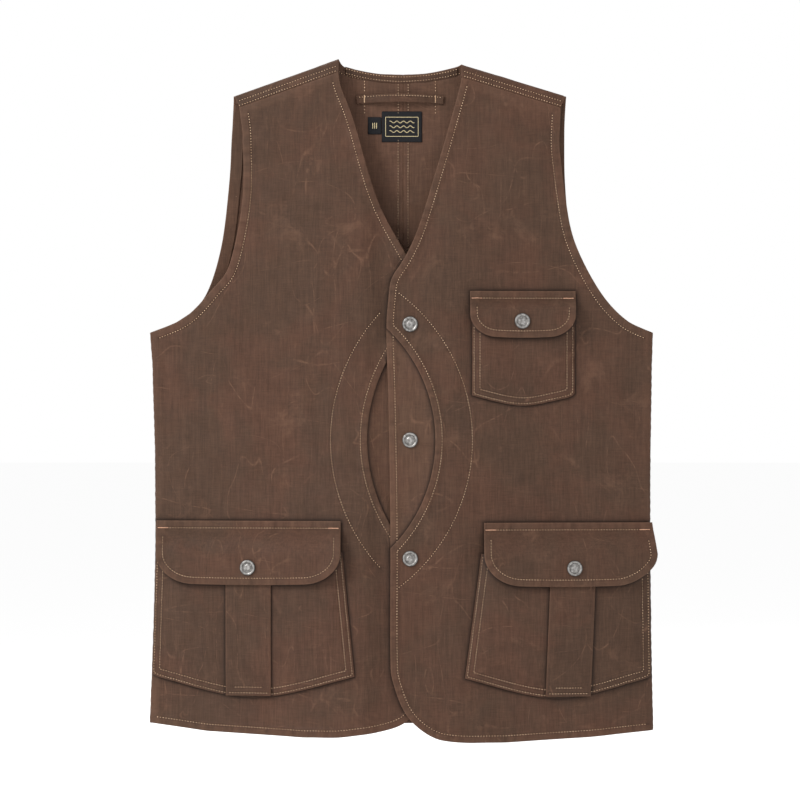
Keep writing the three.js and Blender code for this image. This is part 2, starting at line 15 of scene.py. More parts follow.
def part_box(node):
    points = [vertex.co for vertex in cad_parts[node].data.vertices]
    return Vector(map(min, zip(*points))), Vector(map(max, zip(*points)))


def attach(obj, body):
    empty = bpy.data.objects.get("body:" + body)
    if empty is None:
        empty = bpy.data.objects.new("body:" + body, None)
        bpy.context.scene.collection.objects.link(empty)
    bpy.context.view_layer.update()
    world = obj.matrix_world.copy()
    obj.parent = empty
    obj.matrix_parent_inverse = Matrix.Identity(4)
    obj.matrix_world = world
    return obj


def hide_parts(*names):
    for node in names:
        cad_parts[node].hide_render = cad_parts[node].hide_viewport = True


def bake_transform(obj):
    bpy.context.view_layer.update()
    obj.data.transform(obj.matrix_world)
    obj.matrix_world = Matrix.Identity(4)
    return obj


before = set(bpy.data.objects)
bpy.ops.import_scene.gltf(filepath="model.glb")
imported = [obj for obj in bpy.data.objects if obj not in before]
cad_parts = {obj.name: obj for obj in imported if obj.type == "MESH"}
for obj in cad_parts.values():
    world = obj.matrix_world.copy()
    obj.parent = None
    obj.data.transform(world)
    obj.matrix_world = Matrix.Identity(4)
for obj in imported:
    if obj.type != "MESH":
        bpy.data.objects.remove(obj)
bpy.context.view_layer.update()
MM = 0.001


# ---------------------------------------------------------------- sizes

def span(node):
    """Lowest and highest corner of a CAD node, in millimetres."""
    low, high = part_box(node)
    return np.array(low) / MM, np.array(high) / MM


def middle_of(node):
    low, high = span(node)
    return (low + high) / 2


SIDES = ("left", "right")
SIGN = {"left": 1, "right": -1}
HALF_CHEST = {"left": span("left_side_fold")[1][0], "right": -span("right_side_fold")[0][0]}
NECK_HEIGHT = {side: span(f"{side}_shoulder_strip")[1][2] for side in SIDES}
HEM_DROP = -span("left_front_side")[0][2]
FOLD_LINE = {
    "left": span("left_front_side")[0][0] - 0.2,
    "right": span("right_front_side")[1][0] + 0.2,
}
ARMHOLE_DROP = 244
WAIST_NIP = {"left": 3, "right": 6}
HALF_NECK = 64
HALF_SHOULDER = 171
SHOULDER_TIP = 2.5
SEAM_DROP = 14
CLOTH = 1.2
THIN_CLOTH = 0.8
WORN_EDGE = 0.9
EDGE_SPACING = 0.8
CLEARANCE = 0.4
ALLOWANCE = 2 * CLOTH + CLEARANCE + 0.2
FRONT_STAND, FRONT_LEAN = 12, 0.042
BACK_STAND, BACK_LEAN = 10, 0.022
FOLD_PLANE = -8
SIDE_SHARE = 0.15
FOLD_RADIUS = 10
SHOULDER_RADIUS = 28
OVERLAP_EDGE = -12
SNAP_SPACE = 2.8
SNAP_RADIUS = 8.1
SINK = 2 * CLOTH + CLEARANCE + SNAP_SPACE

OPENING = {"left": (36.6, 158), "right": (-34, 172)}
MIDDLE_SNAP = -355.5
PANEL_DIP = 1.8

HEM_ROW = 7
ARMHOLE_ROW = 8.5
ROW_SPACING = 1.0
STITCH_PITCH = 2.9
STITCH_LENGTH = 1.3
STITCH_RADIUS = 0.38

# The shortest side of a flat sheet in metres, then shares of the box round its outline.
LEAST_SHEET = 0.0101
NARROW_SHARE = 0.36


# ---------------------------------------------------------------- surfaces, as in the CAD part

def pick(x, sizes):
    return np.where(np.asarray(x) < 0, sizes["right"], sizes["left"])


def side_edge(x, z):
    waist = -0.65 * HEM_DROP
    share = np.minimum(1, np.abs(z - waist) / (HEM_DROP - ARMHOLE_DROP) * 2)
    return pick(x, HALF_CHEST) - pick(x, WAIST_NIP) * (1 - share ** 2)


def shoulder_fold(x):
    rise = NECK_HEIGHT["left"] - NECK_HEIGHT["right"]
    neck = NECK_HEIGHT["right"] + rise * (x + HALF_NECK) / (2 * HALF_NECK)
    top = pick(x, NECK_HEIGHT)
    arm = top - (top - SHOULDER_TIP) * (np.abs(x) - HALF_NECK) / (HALF_SHOULDER - HALF_NECK)
    return np.where(np.abs(x) < HALF_NECK, neck, arm)


def ease(share):
    """A share from 0 to 1 that starts and ends level."""
    return share * share * (3 - 2 * share)


def round_edge(distance, radius):
    share = np.clip(distance / radius, 0, 1)
    return np.sqrt(1 - (1 - share) ** 2)


def edge_rounding(x, z):
    across = round_edge(side_edge(x, z) - np.abs(x), FOLD_RADIUS)
    return across * round_edge(shoulder_fold(x) - z, SHOULDER_RADIUS)


def front_plane(x, z):
    soft = 8
    past = np.abs(x) - FOLD_LINE["left"]
    fall = np.where(past < -soft, 0, np.where(past > soft, past, (past + soft) ** 2 / (4 * soft)))
    share = 1 - (1 - SIDE_SHARE) * fall / (side_edge(x, z) - FOLD_LINE["left"])
    depth = FRONT_STAND + FRONT_LEAN * np.maximum(0, -z)
    return FOLD_PLANE - CLOTH - CLEARANCE / 2 - depth * share


def drape(x, z):
    """The soft unevenness of the hanging cloth, which every layer on it follows."""
    calm = np.clip((side_edge(x, z) - np.abs(x)) / 30, 0, 1) * np.clip((shoulder_fold(x) - z) / 60, 0, 1)
    return calm * (1.0 * ripple(x, z, 190, 3) + 0.55 * ripple(x, z, 85, 4))


def front_face(x, z):
    edge = FOLD_PLANE - CLOTH - CLEARANCE / 2
    return edge + (front_plane(x, z) - edge) * edge_rounding(x, z) + drape(x, z)


def back_face(x, z):
    share = 1 - (1 - SIDE_SHARE) * (np.abs(x) / side_edge(x, z)) ** 2
    depth = BACK_STAND + BACK_LEAN * np.maximum(0, -z)
    return FOLD_PLANE + CLOTH + CLEARANCE / 2 + depth * share * edge_rounding(x, z) + 0.8 * drape(-x, z)


def right_front_face(x, z):
    start = FOLD_LINE["right"]
    share = np.clip((x - start) / (OVERLAP_EDGE - 4 - start), 0, 1)
    return front_face(x, z) + SINK * ease(share)


def crescent_face(side):
    """The face of the panel behind a crescent opening, which dips a little more inside the opening."""
    base = front_face if side == "left" else right_front_face
    reach, radius = OPENING[side]
    centre = reach - SIGN[side] * radius

    def face(x, z):
        depth = np.clip((radius - np.hypot(x - centre, z - MIDDLE_SNAP) + 2) / 14, 0, 1)
        return base(x, z) + CLOTH + CLEARANCE + PANEL_DIP * ease(depth)

    return face


def ripple(x, z, wavelength, seed, waves=7):
    """A smooth random field from -1 to 1, as a sum of plane waves."""
    random = np.random.default_rng(seed)
    total = np.zeros(np.broadcast(x, z).shape)
    for _ in range(waves):
        turn, phase = random.uniform(0, 2 * np.pi, 2)
        step = 2 * np.pi / (wavelength * random.uniform(0.7, 1.4))
        total += np.sin(step * (x * math.cos(turn) + z * math.sin(turn)) + phase)
    return total / math.sqrt(waves)


# ---------------------------------------------------------------- outlines, read from the CAD nodes

def outer_loop(node, outwards):
    """The outline in X and Z of a node's face that looks along outwards * Y, counter-clockwise."""
    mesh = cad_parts[node].data
    co = np.array([v.co for v in mesh.vertices]) / MM
    _, first, index = np.unique(np.round(co, 3), axis=0, return_index=True, return_inverse=True)
    index = index.ravel()
    points = co[first]
    used = {}
    for polygon in mesh.polygons:
        corners = [index[v] for v in polygon.vertices]
        a, b, c = (points[i] for i in corners[:3])
        normal = np.cross(b - a, c - a)
        size = np.linalg.norm(normal)
        if size < 1e-9 or outwards * normal[1] / size < 0.2:
            continue
        for i, start in enumerate(corners):
            edge = (start, corners[(i + 1) % len(corners)])
            used[edge] = used.get(edge, 0) + 1
    follow = {a: b for (a, b) in used if (b, a) not in used}
    loops = []
    while follow:
        start, at = follow.popitem()
        loop = [start]
        while at in follow:
            loop.append(at)
            at = follow.pop(at)
        loops.append(np.array([points[i][[0, 2]] for i in loop]))
    loop = max(loops, key=lambda found: abs(shoelace(found)))
    return loop if shoelace(loop) > 0 else loop[::-1]


def shoelace(loop):
    x, z = loop[:, 0], loop[:, 1]
    return 0.5 * np.sum(x * np.roll(z, -1) - z * np.roll(x, -1))


def cut_open(loop, *folds):
    """The parts of a loop that aren't on the given upright lines, as open chains, tallest first."""
    on = np.any([np.abs(loop[:, 0] - fold) < 0.5 for fold in folds], axis=0)
    start = next(i for i in range(len(loop)) if on[i - 1] and not on[i])
    turned, on = np.roll(loop, -start, axis=0), np.roll(on, -start)
    chains, current = [], []
    for point, cut in zip(turned, on):
        if cut and current:
            chains.append(np.array(current))
            current = []
        elif not cut:
            current.append(point)
    if current:
        chains.append(np.array(current))
    return sorted(chains, key=lambda chain: -np.ptp(chain[:, 1]))


def tidy(loop, slack=0.12, reach=30):
    """Drops the points that a straight line between their neighbours hardly misses."""
    points = [np.array(p) for p in loop]
    while len(points) > 8:
        misses = []
        for i in range(len(points)):
            a, p, b = points[i - 1], points[i], points[(i + 1) % len(points)]
            chord = b - a
            length = np.linalg.norm(chord)
            miss = abs(chord[0] * (p - a)[1] - chord[1] * (p - a)[0]) / max(length, 1e-9)
            if length > reach:
                miss = max(miss, slack + 0.01)
            misses.append(miss)
        least = int(np.argmin(misses))
        if misses[least] > slack:
            break
        points.pop(least)
    return np.array(points)


def corners_of(loop, sharpest=32):
    before = loop - np.roll(loop, 1, axis=0)
    after = np.roll(loop, -1, axis=0) - loop
    sine = before[:, 0] * after[:, 1] - before[:, 1] * after[:, 0]
    turn = np.degrees(np.arctan2(sine, (before * after).sum(1)))
    return np.flatnonzero(np.abs(turn) > sharpest)


def smooth_stretch(points, spacing):
    """A curve through points, evenly sampled, without its last point."""
    if len(points) > 2:
        ends = [2 * points[0] - points[1], *points, 2 * points[-1] - points[-2]]
        fine = []
        for a, b, c, d in zip(ends, ends[1:], ends[2:], ends[3:]):
            ta = max(np.linalg.norm(b - a), 1e-6) ** 0.5
            tb = ta + max(np.linalg.norm(c - b), 1e-6) ** 0.5
            tc = tb + max(np.linalg.norm(d - c), 1e-6) ** 0.5
            for t in np.linspace(ta, tb, 9)[:-1]:
                p = a + (b - a) * t / ta
                q = b + (c - b) * (t - ta) / (tb - ta)
                r = c + (d - c) * (t - tb) / (tc - tb)
                p = p + (q - p) * t / tb
                q = q + (r - q) * (t - ta) / (tc - ta)
                fine.append(p + (q - p) * (t - ta) / (tb - ta))
        fine.append(points[-1])
        points = np.array(fine)
    return resample(points, spacing)[:-1]


def resample(points, spacing):
    steps = np.linalg.norm(np.diff(points, axis=0), axis=1)
    along = np.concatenate([[0], np.cumsum(steps)])
    count = max(1, round(along[-1] / spacing))
    at = np.linspace(0, along[-1], count + 1)
    return np.stack([np.interp(at, along, points[:, i]) for i in range(points.shape[1])], axis=1)


def around(loop, spacing):
    """A closed loop, evenly sampled, with its first point again at the end."""
    return resample(np.concatenate([loop, loop[:1]]), spacing)


def across_and_up(x, z):
    """Points in X and Z, of which one may be a single number."""
    return np.stack(np.broadcast_arrays(np.asarray(x, float), np.asarray(z, float)), axis=1)


def half_disc(centre_x, centre_z, sign, radius, turns):
    """Points of an arc that bulges to the side of the sign."""
    return across_and_up(centre_x + sign * radius * np.cos(turns), centre_z + radius * np.sin(turns))


def smooth_loop(loop, spacing):
    loop = tidy(loop)
    corners = corners_of(loop)
    if len(corners) == 0:
        corners = np.array([0])
    parts = []
    for i, start in enumerate(corners):
        end = corners[(i + 1) % len(corners)]
        count = (end - start) % len(loop) or len(loop)
        stretch = loop[[(start + k) % len(loop) for k in range(count + 1)]]
        parts.append(smooth_stretch(stretch, spacing))
    return np.concatenate(parts)


# ---------------------------------------------------------------- cloth meshes

def tree_of(points):
    tree = KDTree(len(points))
    for i, (x, z) in enumerate(points):
        tree.insert((x, z, 0), i)
    tree.balance()
    return tree


def nearest(tree, points):
    found = [tree.find((x, z, 0)) for x, z in points]
    return np.array([f[2] for f in found]), np.array([f[1] for f in found])


def inside(loop, points):
    x, z = points[:, 0:1], points[:, 1:2]
    a, b = loop, np.roll(loop, -1, axis=0)
    crosses = (a[:, 1] > z) != (b[:, 1] > z)
    height = np.where(np.abs(b[:, 1] - a[:, 1]) < 1e-12, 1e-12, b[:, 1] - a[:, 1])
    return (np.sum(crosses & (x < (b[:, 0] - a[:, 0]) * (z - a[:, 1]) / height + a[:, 0]), axis=1) % 2) == 1


def normals_of(line, closed):
    if closed:
        along = np.roll(line, -1, axis=0) - np.roll(line, 1, axis=0)
    else:
        along = np.gradient(line, axis=0)
    along /= np.maximum(np.linalg.norm(along, axis=1, keepdims=True), 1e-9)
    return np.stack([-along[:, 1], along[:, 0]], axis=1)


def inset_rows(loop, distance, keep):
    """Rows of sewing a given distance inside a loop, where keep(x, z) says that the edge has one."""
    fine = around(loop, ROW_SPACING)[:-1]
    if callable(distance):
        gaps = distance(fine[:, 0], fine[:, 1])
    else:
        gaps = np.full(len(fine), float(distance))
    moved = fine + normals_of(fine, True) * gaps[:, None]
    away, _ = nearest(tree_of(fine), moved)
    good = keep(fine[:, 0], fine[:, 1]) & (away > gaps - 0.35) & inside(loop, moved)
    if good.all():
        return [np.concatenate([moved, moved[:1]])]
    start = next(i for i in range(len(good)) if good[i] and not good[i - 1])
    moved, good = np.roll(moved, -start, axis=0), np.roll(good, -start)
    rows, current = [], []
    for point, ok in zip(moved, good):
        if ok and (not current or np.linalg.norm(point - current[-1]) < 6):
            current.append(point)
        else:
            rows.append(current)
            current = [point] if ok else []
    rows.append(current)
    return [resample(np.array(row), ROW_SPACING) for row in rows if len(row) > 8]


class Cloth:
    """A sewn layer of cloth: its outline, the surface that it lies on, and the sewing in it."""

    def __init__(self, loop, face, outwards, rows=(), hems=(), puff=0.8, pucker=0.28, seed=1, under=()):
        self.loop = loop
        self.face = face
        self.outwards = outwards
        self.rows = list(rows)
        self.hems = list(hems)
        self.puff = puff
        self.pucker = pucker
        self.seed = seed
        self.edge_tree = tree_of(around(loop, EDGE_SPACING))
        # Edges of what lies on this cloth; the cloth gets painted shade lines along them, standing in for
        # contact shadows.
        self.under = [line[inside(loop, line)] for line in under]
        self.under = [line for line in self.under if len(line) > 2]
        self.under_tree = tree_of(np.concatenate(self.under)) if self.under else None
        sewing = [*self.rows, *self.hems]
        self.has_rows = bool(sewing)
        if sewing:
            self.row_points = np.concatenate(sewing)
            self.row_tree = tree_of(self.row_points)
            self.row_along = np.concatenate([np.arange(len(row)) * 1.0 for row in sewing])
            is_hem = [np.full(len(row), k >= len(self.rows)) for k, row in enumerate(sewing)]
            self.row_hem = np.concatenate(is_hem)

    def relief(self, points):
        """How far the cloth stands out at each point, and how worn it is there."""
        edge, _ = nearest(self.edge_tree, points)
        x, z = points[:, 0], points[:, 1]
        out = -0.5 * CLOTH * np.clip(1 - edge / WORN_EDGE, 0, 1) ** 2
        wear = 0.6 * np.exp(-(edge / WORN_EDGE) ** 2)
        out = out + 0.1 * ripple(x, z, 26, self.seed + 20) + 0.05 * ripple(x, z, 12, self.seed + 21)
        if self.has_rows:
            d, i = nearest(self.row_tree, points)
            along = self.row_along[i]
            waves = ripple(along, 0 * along, 11, self.seed + 5, 5)
            waves = waves + 0.6 * ripple(along, 0 * along, 5.5, self.seed + 6, 5)
            fade = np.exp(-(d / 5.5) ** 2)
            out = out - 0.34 * np.exp(-(d / 0.8) ** 2) + self.pucker * waves * fade
            hem = self.row_hem[i] & (edge < 9.5)
            raised = np.clip((9.2 - edge) / 1.4, 0, 1)
            out = out + np.where(hem, self.puff * ease(raised), 0)
            wear = wear + np.where(hem, 0.2 * raised * (1 + 0.7 * waves), 0)
        return out, np.clip(wear, 0, 1)

    def painted_shade(self, points):
        """How dark the cloth is painted along the edges of what lies on it, as a painted contact shadow, and
        along its own sewing, as painted shade in the stitch grooves.
        """
        dark = np.zeros(len(points))
        if self.under_tree:
            d, _ = nearest(self.under_tree, points)
            dark = 0.95 * np.exp(-(d / 1.9) ** 2) + 0.25 * np.exp(-(d / 6) ** 2)
        if self.has_rows:
            d, _ = nearest(self.row_tree, points)
            dark = np.maximum(dark, 0.5 * np.exp(-(d / 0.85) ** 2))
        return np.clip(dark, 0, 1)

    def points(self, spacing):
        loop = self.loop
        edge_tree = self.edge_tree
        sets = []
        fine = around(loop, 2.2)[:-1]
        for depth in (0.45, 1.1, 2.3):
            ring = fine + normals_of(fine, True) * depth
            away, _ = nearest(edge_tree, ring)
            sets.append(ring[(away > depth * 0.8) & inside(loop, ring)])
        for row in (*self.rows, *self.hems):
            line = resample(row, 2.0)
            across = normals_of(line, False)
            for shift in (-2.3, -0.9, 0, 0.9, 2.3):
                sets.append(line + across * shift)
        # Extra points along those edges, close enough to carry the thin painted shade lines.
        for line in self.under:
            line = resample(line, 2.2)
            across = normals_of(line, False)
            for shift in (-3.6, -1.8, -0.6, 0.6, 1.8, 3.6):
                sets.append(line + across * shift)
        low, high = loop.min(0), loop.max(0)
        xs = np.arange(low[0], high[0], spacing)
        zs = np.arange(low[1], high[1], spacing * 0.866)
        grid = np.array([(x + (j % 2) * spacing / 2, z) for j, z in enumerate(zs) for x in xs])
        kept = thin_out(np.concatenate(sets), 0.62)
        away, _ = nearest(edge_tree, kept)
        kept = kept[(away > 0.4) & inside(loop, kept)]
        away, _ = nearest(edge_tree, grid)
        grid = grid[(away > spacing * 0.6) & inside(loop, grid)]
        if len(kept):
            near, _ = nearest(tree_of(kept), grid)
            grid = grid[near > spacing * 0.55]
        return np.concatenate([kept, grid])

    def build(self, name, thickness, spacing, material, slot, body, nodes, blend=None):
        """A closed mesh of the cloth, with its two faces and the walls along its edge."""
        loop = self.loop
        inner = self.points(spacing)
        points = np.concatenate([loop, inner])
        edges = [(i, (i + 1) % len(loop)) for i in range(len(loop))]
        verts, _, faces, *_ = delaunay_2d_cdt([Vector(p) for p in points], edges, [], 1, 1e-5)
        flat_points = np.array([v[:] for v in verts])
        faces = np.array([f for f in faces if len(f) == 3])
        a, b, c = (flat_points[faces[:, k]] for k in range(3))
        turn = (b[:, 0] - a[:, 0]) * (c[:, 1] - a[:, 1]) - (b[:, 1] - a[:, 1]) * (c[:, 0] - a[:, 0])
        faces = faces[np.abs(turn) > 1e-7]
        turn = turn[np.abs(turn) > 1e-7]
        faces[turn < 0] = faces[turn < 0][:, ::-1]
        if self.outwards > 0:
            faces = faces[:, ::-1]
        base = self.base(flat_points)
        normal = vertex_normals(base, faces)
        out, wear = self.relief(flat_points)
        outer = base + normal * out[:, None]
        edge, _ = nearest(self.edge_tree, flat_points)
        thick = thickness * (1 - 0.45 * np.clip(1 - edge / WORN_EDGE, 0, 1) ** 2)
        back = outer - normal * thick[:, None]
        count = len(outer)
        border = boundary_edges(faces)
        walls = [(b, a, a + count, b + count) for a, b in border]
        everything = [tuple(f) for f in faces] + [tuple(f[::-1] + count) for f in faces] + walls
        obj = make_mesh(name, np.concatenate([outer, back]), everything, material)
        add_attribute(obj, "wear", np.concatenate([wear, wear]))
        # The painted shade (dark lines along overlying edges and the sewing) is stored as a point attribute.
        add_attribute(obj, "painted_shade", np.tile(self.painted_shade(flat_points), 2))
        carry(obj, body, blend)
        if nodes:
            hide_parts(*nodes)
        self.declare()

    def declare(self):
        """Works out how large the cloth is when flat: its box, or as a strip if it fills little of the box;
        the result is not kept.
        """
        loop = self.loop
        area = abs(shoelace(loop)) * MM * MM
        size = np.maximum((loop.max(0) - loop.min(0)) * MM, LEAST_SHEET)
        flat = (float(size[0]), float(size[1]))
        if area < NARROW_SHARE * flat[0] * flat[1]:
            half_way = np.linalg.norm(loop - np.roll(loop, 1, axis=0), axis=1).sum() * MM / 2
            length = float(half_way + math.sqrt(half_way ** 2 - 4 * area)) / 2
            flat = (max(area / length * 1.02, LEAST_SHEET), length)

    def base(self, points):
        x, z = points[:, 0], points[:, 1]
        return np.stack([x, self.face(x, z), z], axis=1)

    def lay(self, line, lift=0.0, thickness=0.0):
        """Points of a line on the outer face (or the inner one, given the thickness), with normals."""
        at = self.base(line)
        dx, dz = slopes(self.face, line[:, 0], line[:, 1], 0.5)
        normal = self.outwards * np.stack([-dx, np.ones(len(line)), -dz], axis=1)
        normal /= np.linalg.norm(normal, axis=1, keepdims=True)
        out, _ = self.relief(line)
        if thickness:
            return at + normal * (out - thickness - lift)[:, None], -normal
        return at + normal * (out + lift)[:, None], normal


def slopes(face, x, z, step):
    across = (face(x + step, z) - face(x - step, z)) / (2 * step)
    up = (face(x, z + step) - face(x, z - step)) / (2 * step)
    return across, up


def thin_out(points, gap):
    """Drops points that lie closer than gap to an earlier one."""
    cell = {}
    kept = []
    for x, z in points:
        key = (int(x // gap), int(z // gap))
        cells = [(key[0] + i, key[1] + j) for i in (-1, 0, 1) for j in (-1, 0, 1)]
        near = [q for at in cells for q in cell.get(at, ())]
        if all((x - q[0]) ** 2 + (z - q[1]) ** 2 > gap * gap for q in near):
            cell.setdefault(key, []).append((x, z))
            kept.append((x, z))
    return np.array(kept)


def vertex_normals(points, faces):
    a, b, c = (points[faces[:, k]] for k in range(3))
    face_normal = np.cross(b - a, c - a)
    normal = np.zeros_like(points)
    for k in range(3):
        np.add.at(normal, faces[:, k], face_normal)
    return normal / np.maximum(np.linalg.norm(normal, axis=1, keepdims=True), 1e-12)


def boundary_edges(faces):
    edges = set()
    for f in faces:
        for k in range(3):
            edges.add((f[k], f[(k + 1) % 3]))
    return [(a, b) for a, b in edges if (b, a) not in edges]


def make_mesh(name, points, faces, material):
    mesh = bpy.data.meshes.new(name)
    metres = np.asarray(points) * MM
    mesh.from_pydata(metres.tolist(), [], [tuple(int(i) for i in f) for f in faces])
    mesh.validate()
    mesh.polygons.foreach_set("use_smooth", [True] * len(mesh.polygons))
    mesh.materials.append(material)
    obj = bpy.data.objects.new(name, mesh)
    bpy.context.scene.collection.objects.link(obj)
    rest = mesh.attributes.new("rest", "FLOAT_VECTOR", "POINT")
    rest.data.foreach_set("vector", metres.astype(np.float32).ravel())
    return obj


def add_attribute(obj, name, values):
    attribute = obj.data.attributes.new(name, "FLOAT", "POINT")
    attribute.data.foreach_set("value", np.asarray(values, np.float32))


def carry(obj, body, blend=None):
    """Puts a piece on its body, or, given bend points, only bakes its transform into its mesh and leaves it
    off any body.
    """
    if blend:
        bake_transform(obj)
    else:
        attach(obj, body)


def turned(radii, sides, place):
    """A closed surface turned round an axis: place(i, turn) is a point of ring i, whose radius may be 0."""
    verts, faces, rings = [], [], []
    for i, radius in enumerate(radii):
        count = sides if radius > 0 else 1
        rings.append(range(len(verts), len(verts) + count))
        verts.extend(place(i, 2 * math.pi * k / sides) for k in range(count))
    for low, high in zip(rings, rings[1:]):
        for k in range(sides):
            n = (k + 1) % sides
            if len(low) == 1:
                faces.append((low[0], high[n], high[k]))
            elif len(high) == 1:
                faces.append((low[k], low[n], high[0]))
            else:
                faces.append((low[k], low[n], high[n], high[k]))
    return np.array(verts, float), faces


# ---------------------------------------------------------------- thread

STATIONS = ((-0.5, 0.0, -0.7), (-0.44, 0.75, -0.25), (-0.2, 1.0, 0.35),
            (0.2, 1.0, 0.35), (0.44, 0.75, -0.25), (0.5, 0.0, -0.7))
STITCH_SIDES = 6
TACK_RADIUS = 0.34


def stitch_point(i, turn):
    """A point of a stitch along X, from its stations: share of length, share of radius, lift."""
    share, radius, lift = STATIONS[i]
    return share, radius * math.cos(turn), radius * math.sin(turn) + lift


CAPSULE, CAPSULE_FACES = turned([station[1] for station in STATIONS], STITCH_SIDES, stitch_point)


def stitch_verts(centres, along, normal, length, radius):
    side = np.cross(normal, along)
    x = CAPSULE[:, 0][None, :, None] * length[:, None, None] * along[:, None, :]
    y = CAPSULE[:, 1][None, :, None] * radius * side[:, None, :]
    z = CAPSULE[:, 2][None, :, None] * radius * normal[:, None, :]
    return (centres[:, None, :] + x + y + z).reshape(-1, 3)


class Thread:
    """All the stitches of one piece, gathered into one mesh."""

    def __init__(self, seed=1):
        self.verts = []
        self.random = np.random.default_rng(seed)

    def directions(self, cloth, middle, ahead, lift, thickness=0.0):
        """Where stitches lie on the cloth, which way they run and which way they face."""
        at, normal = cloth.lay(middle, lift, thickness)
        along = cloth.lay(middle + ahead * 0.2, lift, thickness)[0] - at
        along /= np.maximum(np.linalg.norm(along, axis=1, keepdims=True), 1e-9)
        return at, along, normal

    def row(self, cloth, line, thickness=0.0):
        line = resample(line, STITCH_PITCH)
        if len(line) < 3:
            return self
        middle = (line[1:] + line[:-1]) / 2
        at, along, normal = self.directions(cloth, middle, np.diff(line, axis=0), 0.1, thickness)
        wobble = self.random.normal(0, 0.03, len(along))[:, None]
        along = along + np.cross(normal, along) * wobble
        sizes = STITCH_LENGTH * self.random.uniform(0.93, 1.05, len(at))
        self.verts.append(stitch_verts(at, along, normal, sizes, STITCH_RADIUS))
        return self

    def bartack(self, cloth, start, end, width, pitch=0.62):
        """A dense zigzag from start to end."""
        start, end = np.array(start, float), np.array(end, float)
        reach = np.linalg.norm(end - start)
        count = max(3, round(reach / pitch))
        run = (end - start) / reach
        over = np.array([-run[1], run[0]])
        middle = start + (end - start) * ((np.arange(count) + 0.5) / count)[:, None]
        lean = over[None, :] + 0.35 * run[None, :] * np.where(np.arange(count) % 2, 1, -1)[:, None]
        at, along, normal = self.directions(cloth, middle, lean, 0.3)
        sizes = width * self.random.uniform(0.85, 1.1, len(at))
        self.verts.append(stitch_verts(at, along, normal, sizes, TACK_RADIUS))
        return self

    def build(self, name, body, material, blend=None):
        verts = np.concatenate(self.verts)
        faces = []
        for base in range(0, len(verts), len(CAPSULE)):
            faces.extend(tuple(base + i for i in f) for f in CAPSULE_FACES)
        carry(make_mesh(name, verts, faces, material), body, blend)


def sew(name, seed, cloth, rows, body="vest", blend=None):
    """All the rows of sewing of one piece, as one thread."""
    thread = Thread(seed)
    for row in rows:
        thread.row(cloth, row)
    thread.build(name, body, THREAD, blend)


# ---------------------------------------------------------------- materials

class Nodes:
    """Short calls for building a node tree."""

    def __init__(self, name):
        self.material = bpy.data.materials.new(name)
        self.material.use_nodes = True
        self.tree = self.material.node_tree
        self.shader = self.tree.nodes["Principled BSDF"]

    def feed(self, socket, value):
        if isinstance(value, bpy.types.NodeSocket):
            self.tree.links.new(value, socket)
        else:
            socket.default_value = value

    def attribute(self, name, output):
        node = self.tree.nodes.new("ShaderNodeAttribute")
        node.attribute_name = name
        return node.outputs[output]

    def math(self, operation, a, b=0.0, clamp=False):
        node = self.tree.nodes.new("ShaderNodeMath")
        node.operation = operation
        node.use_clamp = clamp
        self.feed(node.inputs[0], a)
        self.feed(node.inputs[1], b)
        return node.outputs[0]

    def times(self, a, b):
        return self.math("MULTIPLY", a, b)

    def scaled(self, vector, scale, turn=(0, 0, 0)):
        node = self.tree.nodes.new("ShaderNodeMapping")
        self.feed(node.inputs["Vector"], vector)
        node.inputs["Scale"].default_value = scale
        node.inputs["Rotation"].default_value = turn
        return node.outputs[0]

    def noise(self, vector, scale, detail=2.0, roughness=0.5, distortion=0.0):
        node = self.tree.nodes.new("ShaderNodeTexNoise")
        self.feed(node.inputs["Vector"], vector)
        node.inputs["Scale"].default_value = scale
        node.inputs["Detail"].default_value = detail
        node.inputs["Roughness"].default_value = roughness
        node.inputs["Distortion"].default_value = distortion
        return node.outputs["Fac"]

    def between(self, value, low, high, to_low=0.0, to_high=1.0, smooth=False):
        node = self.tree.nodes.new("ShaderNodeMapRange")
        node.interpolation_type = "SMOOTHSTEP" if smooth else "LINEAR"
        node.clamp = True
        self.feed(node.inputs["Value"], value)
        node.inputs["From Min"].default_value = low
        node.inputs["From Max"].default_value = high
        node.inputs["To Min"].default_value = to_low
        node.inputs["To Max"].default_value = to_high
        return node.outputs["Result"]

    def mix(self, share, a, b, kind="MIX"):
        node = self.tree.nodes.new("ShaderNodeMix")
        node.data_type = "RGBA"
        node.blend_type = kind
        self.feed(node.inputs["Factor"], share)
        self.feed(node.inputs["A"], a)
        self.feed(node.inputs["B"], b)
        return node.outputs["Result"]

    def lines(self, vector, scale, width, distortion=0.6, detail=1.0):
        """Thin meandering lines: 1 on a line, 0 off it."""
        value = self.noise(vector, scale, detail, 0.5, distortion)
        off = self.math("ABSOLUTE", self.math("SUBTRACT", value, 0.5))
        return self.between(off, 0.0, width, 1.0, 0.0, smooth=True)

    def bump(self, height, distance, strength=1.0, under=None):
        node = self.tree.nodes.new("ShaderNodeBump")
        node.inputs["Strength"].default_value = strength
        node.inputs["Distance"].default_value = distance
        self.feed(node.inputs["Height"], height)
        if under is not None:
            self.feed(node.inputs["Normal"], under)
        return node.outputs["Normal"]

    def surface(self, **values):
        for key, value in values.items():
            self.feed(self.shader.inputs[key.replace("_", " ")], value)
        return self.material


def linear(r, g, b):
    def curve(v):
        v /= 255
        return v / 12.92 if v <= 0.04045 else ((v + 0.055) / 1.055) ** 2.4
    return (curve(r), curve(g), curve(b), 1.0)


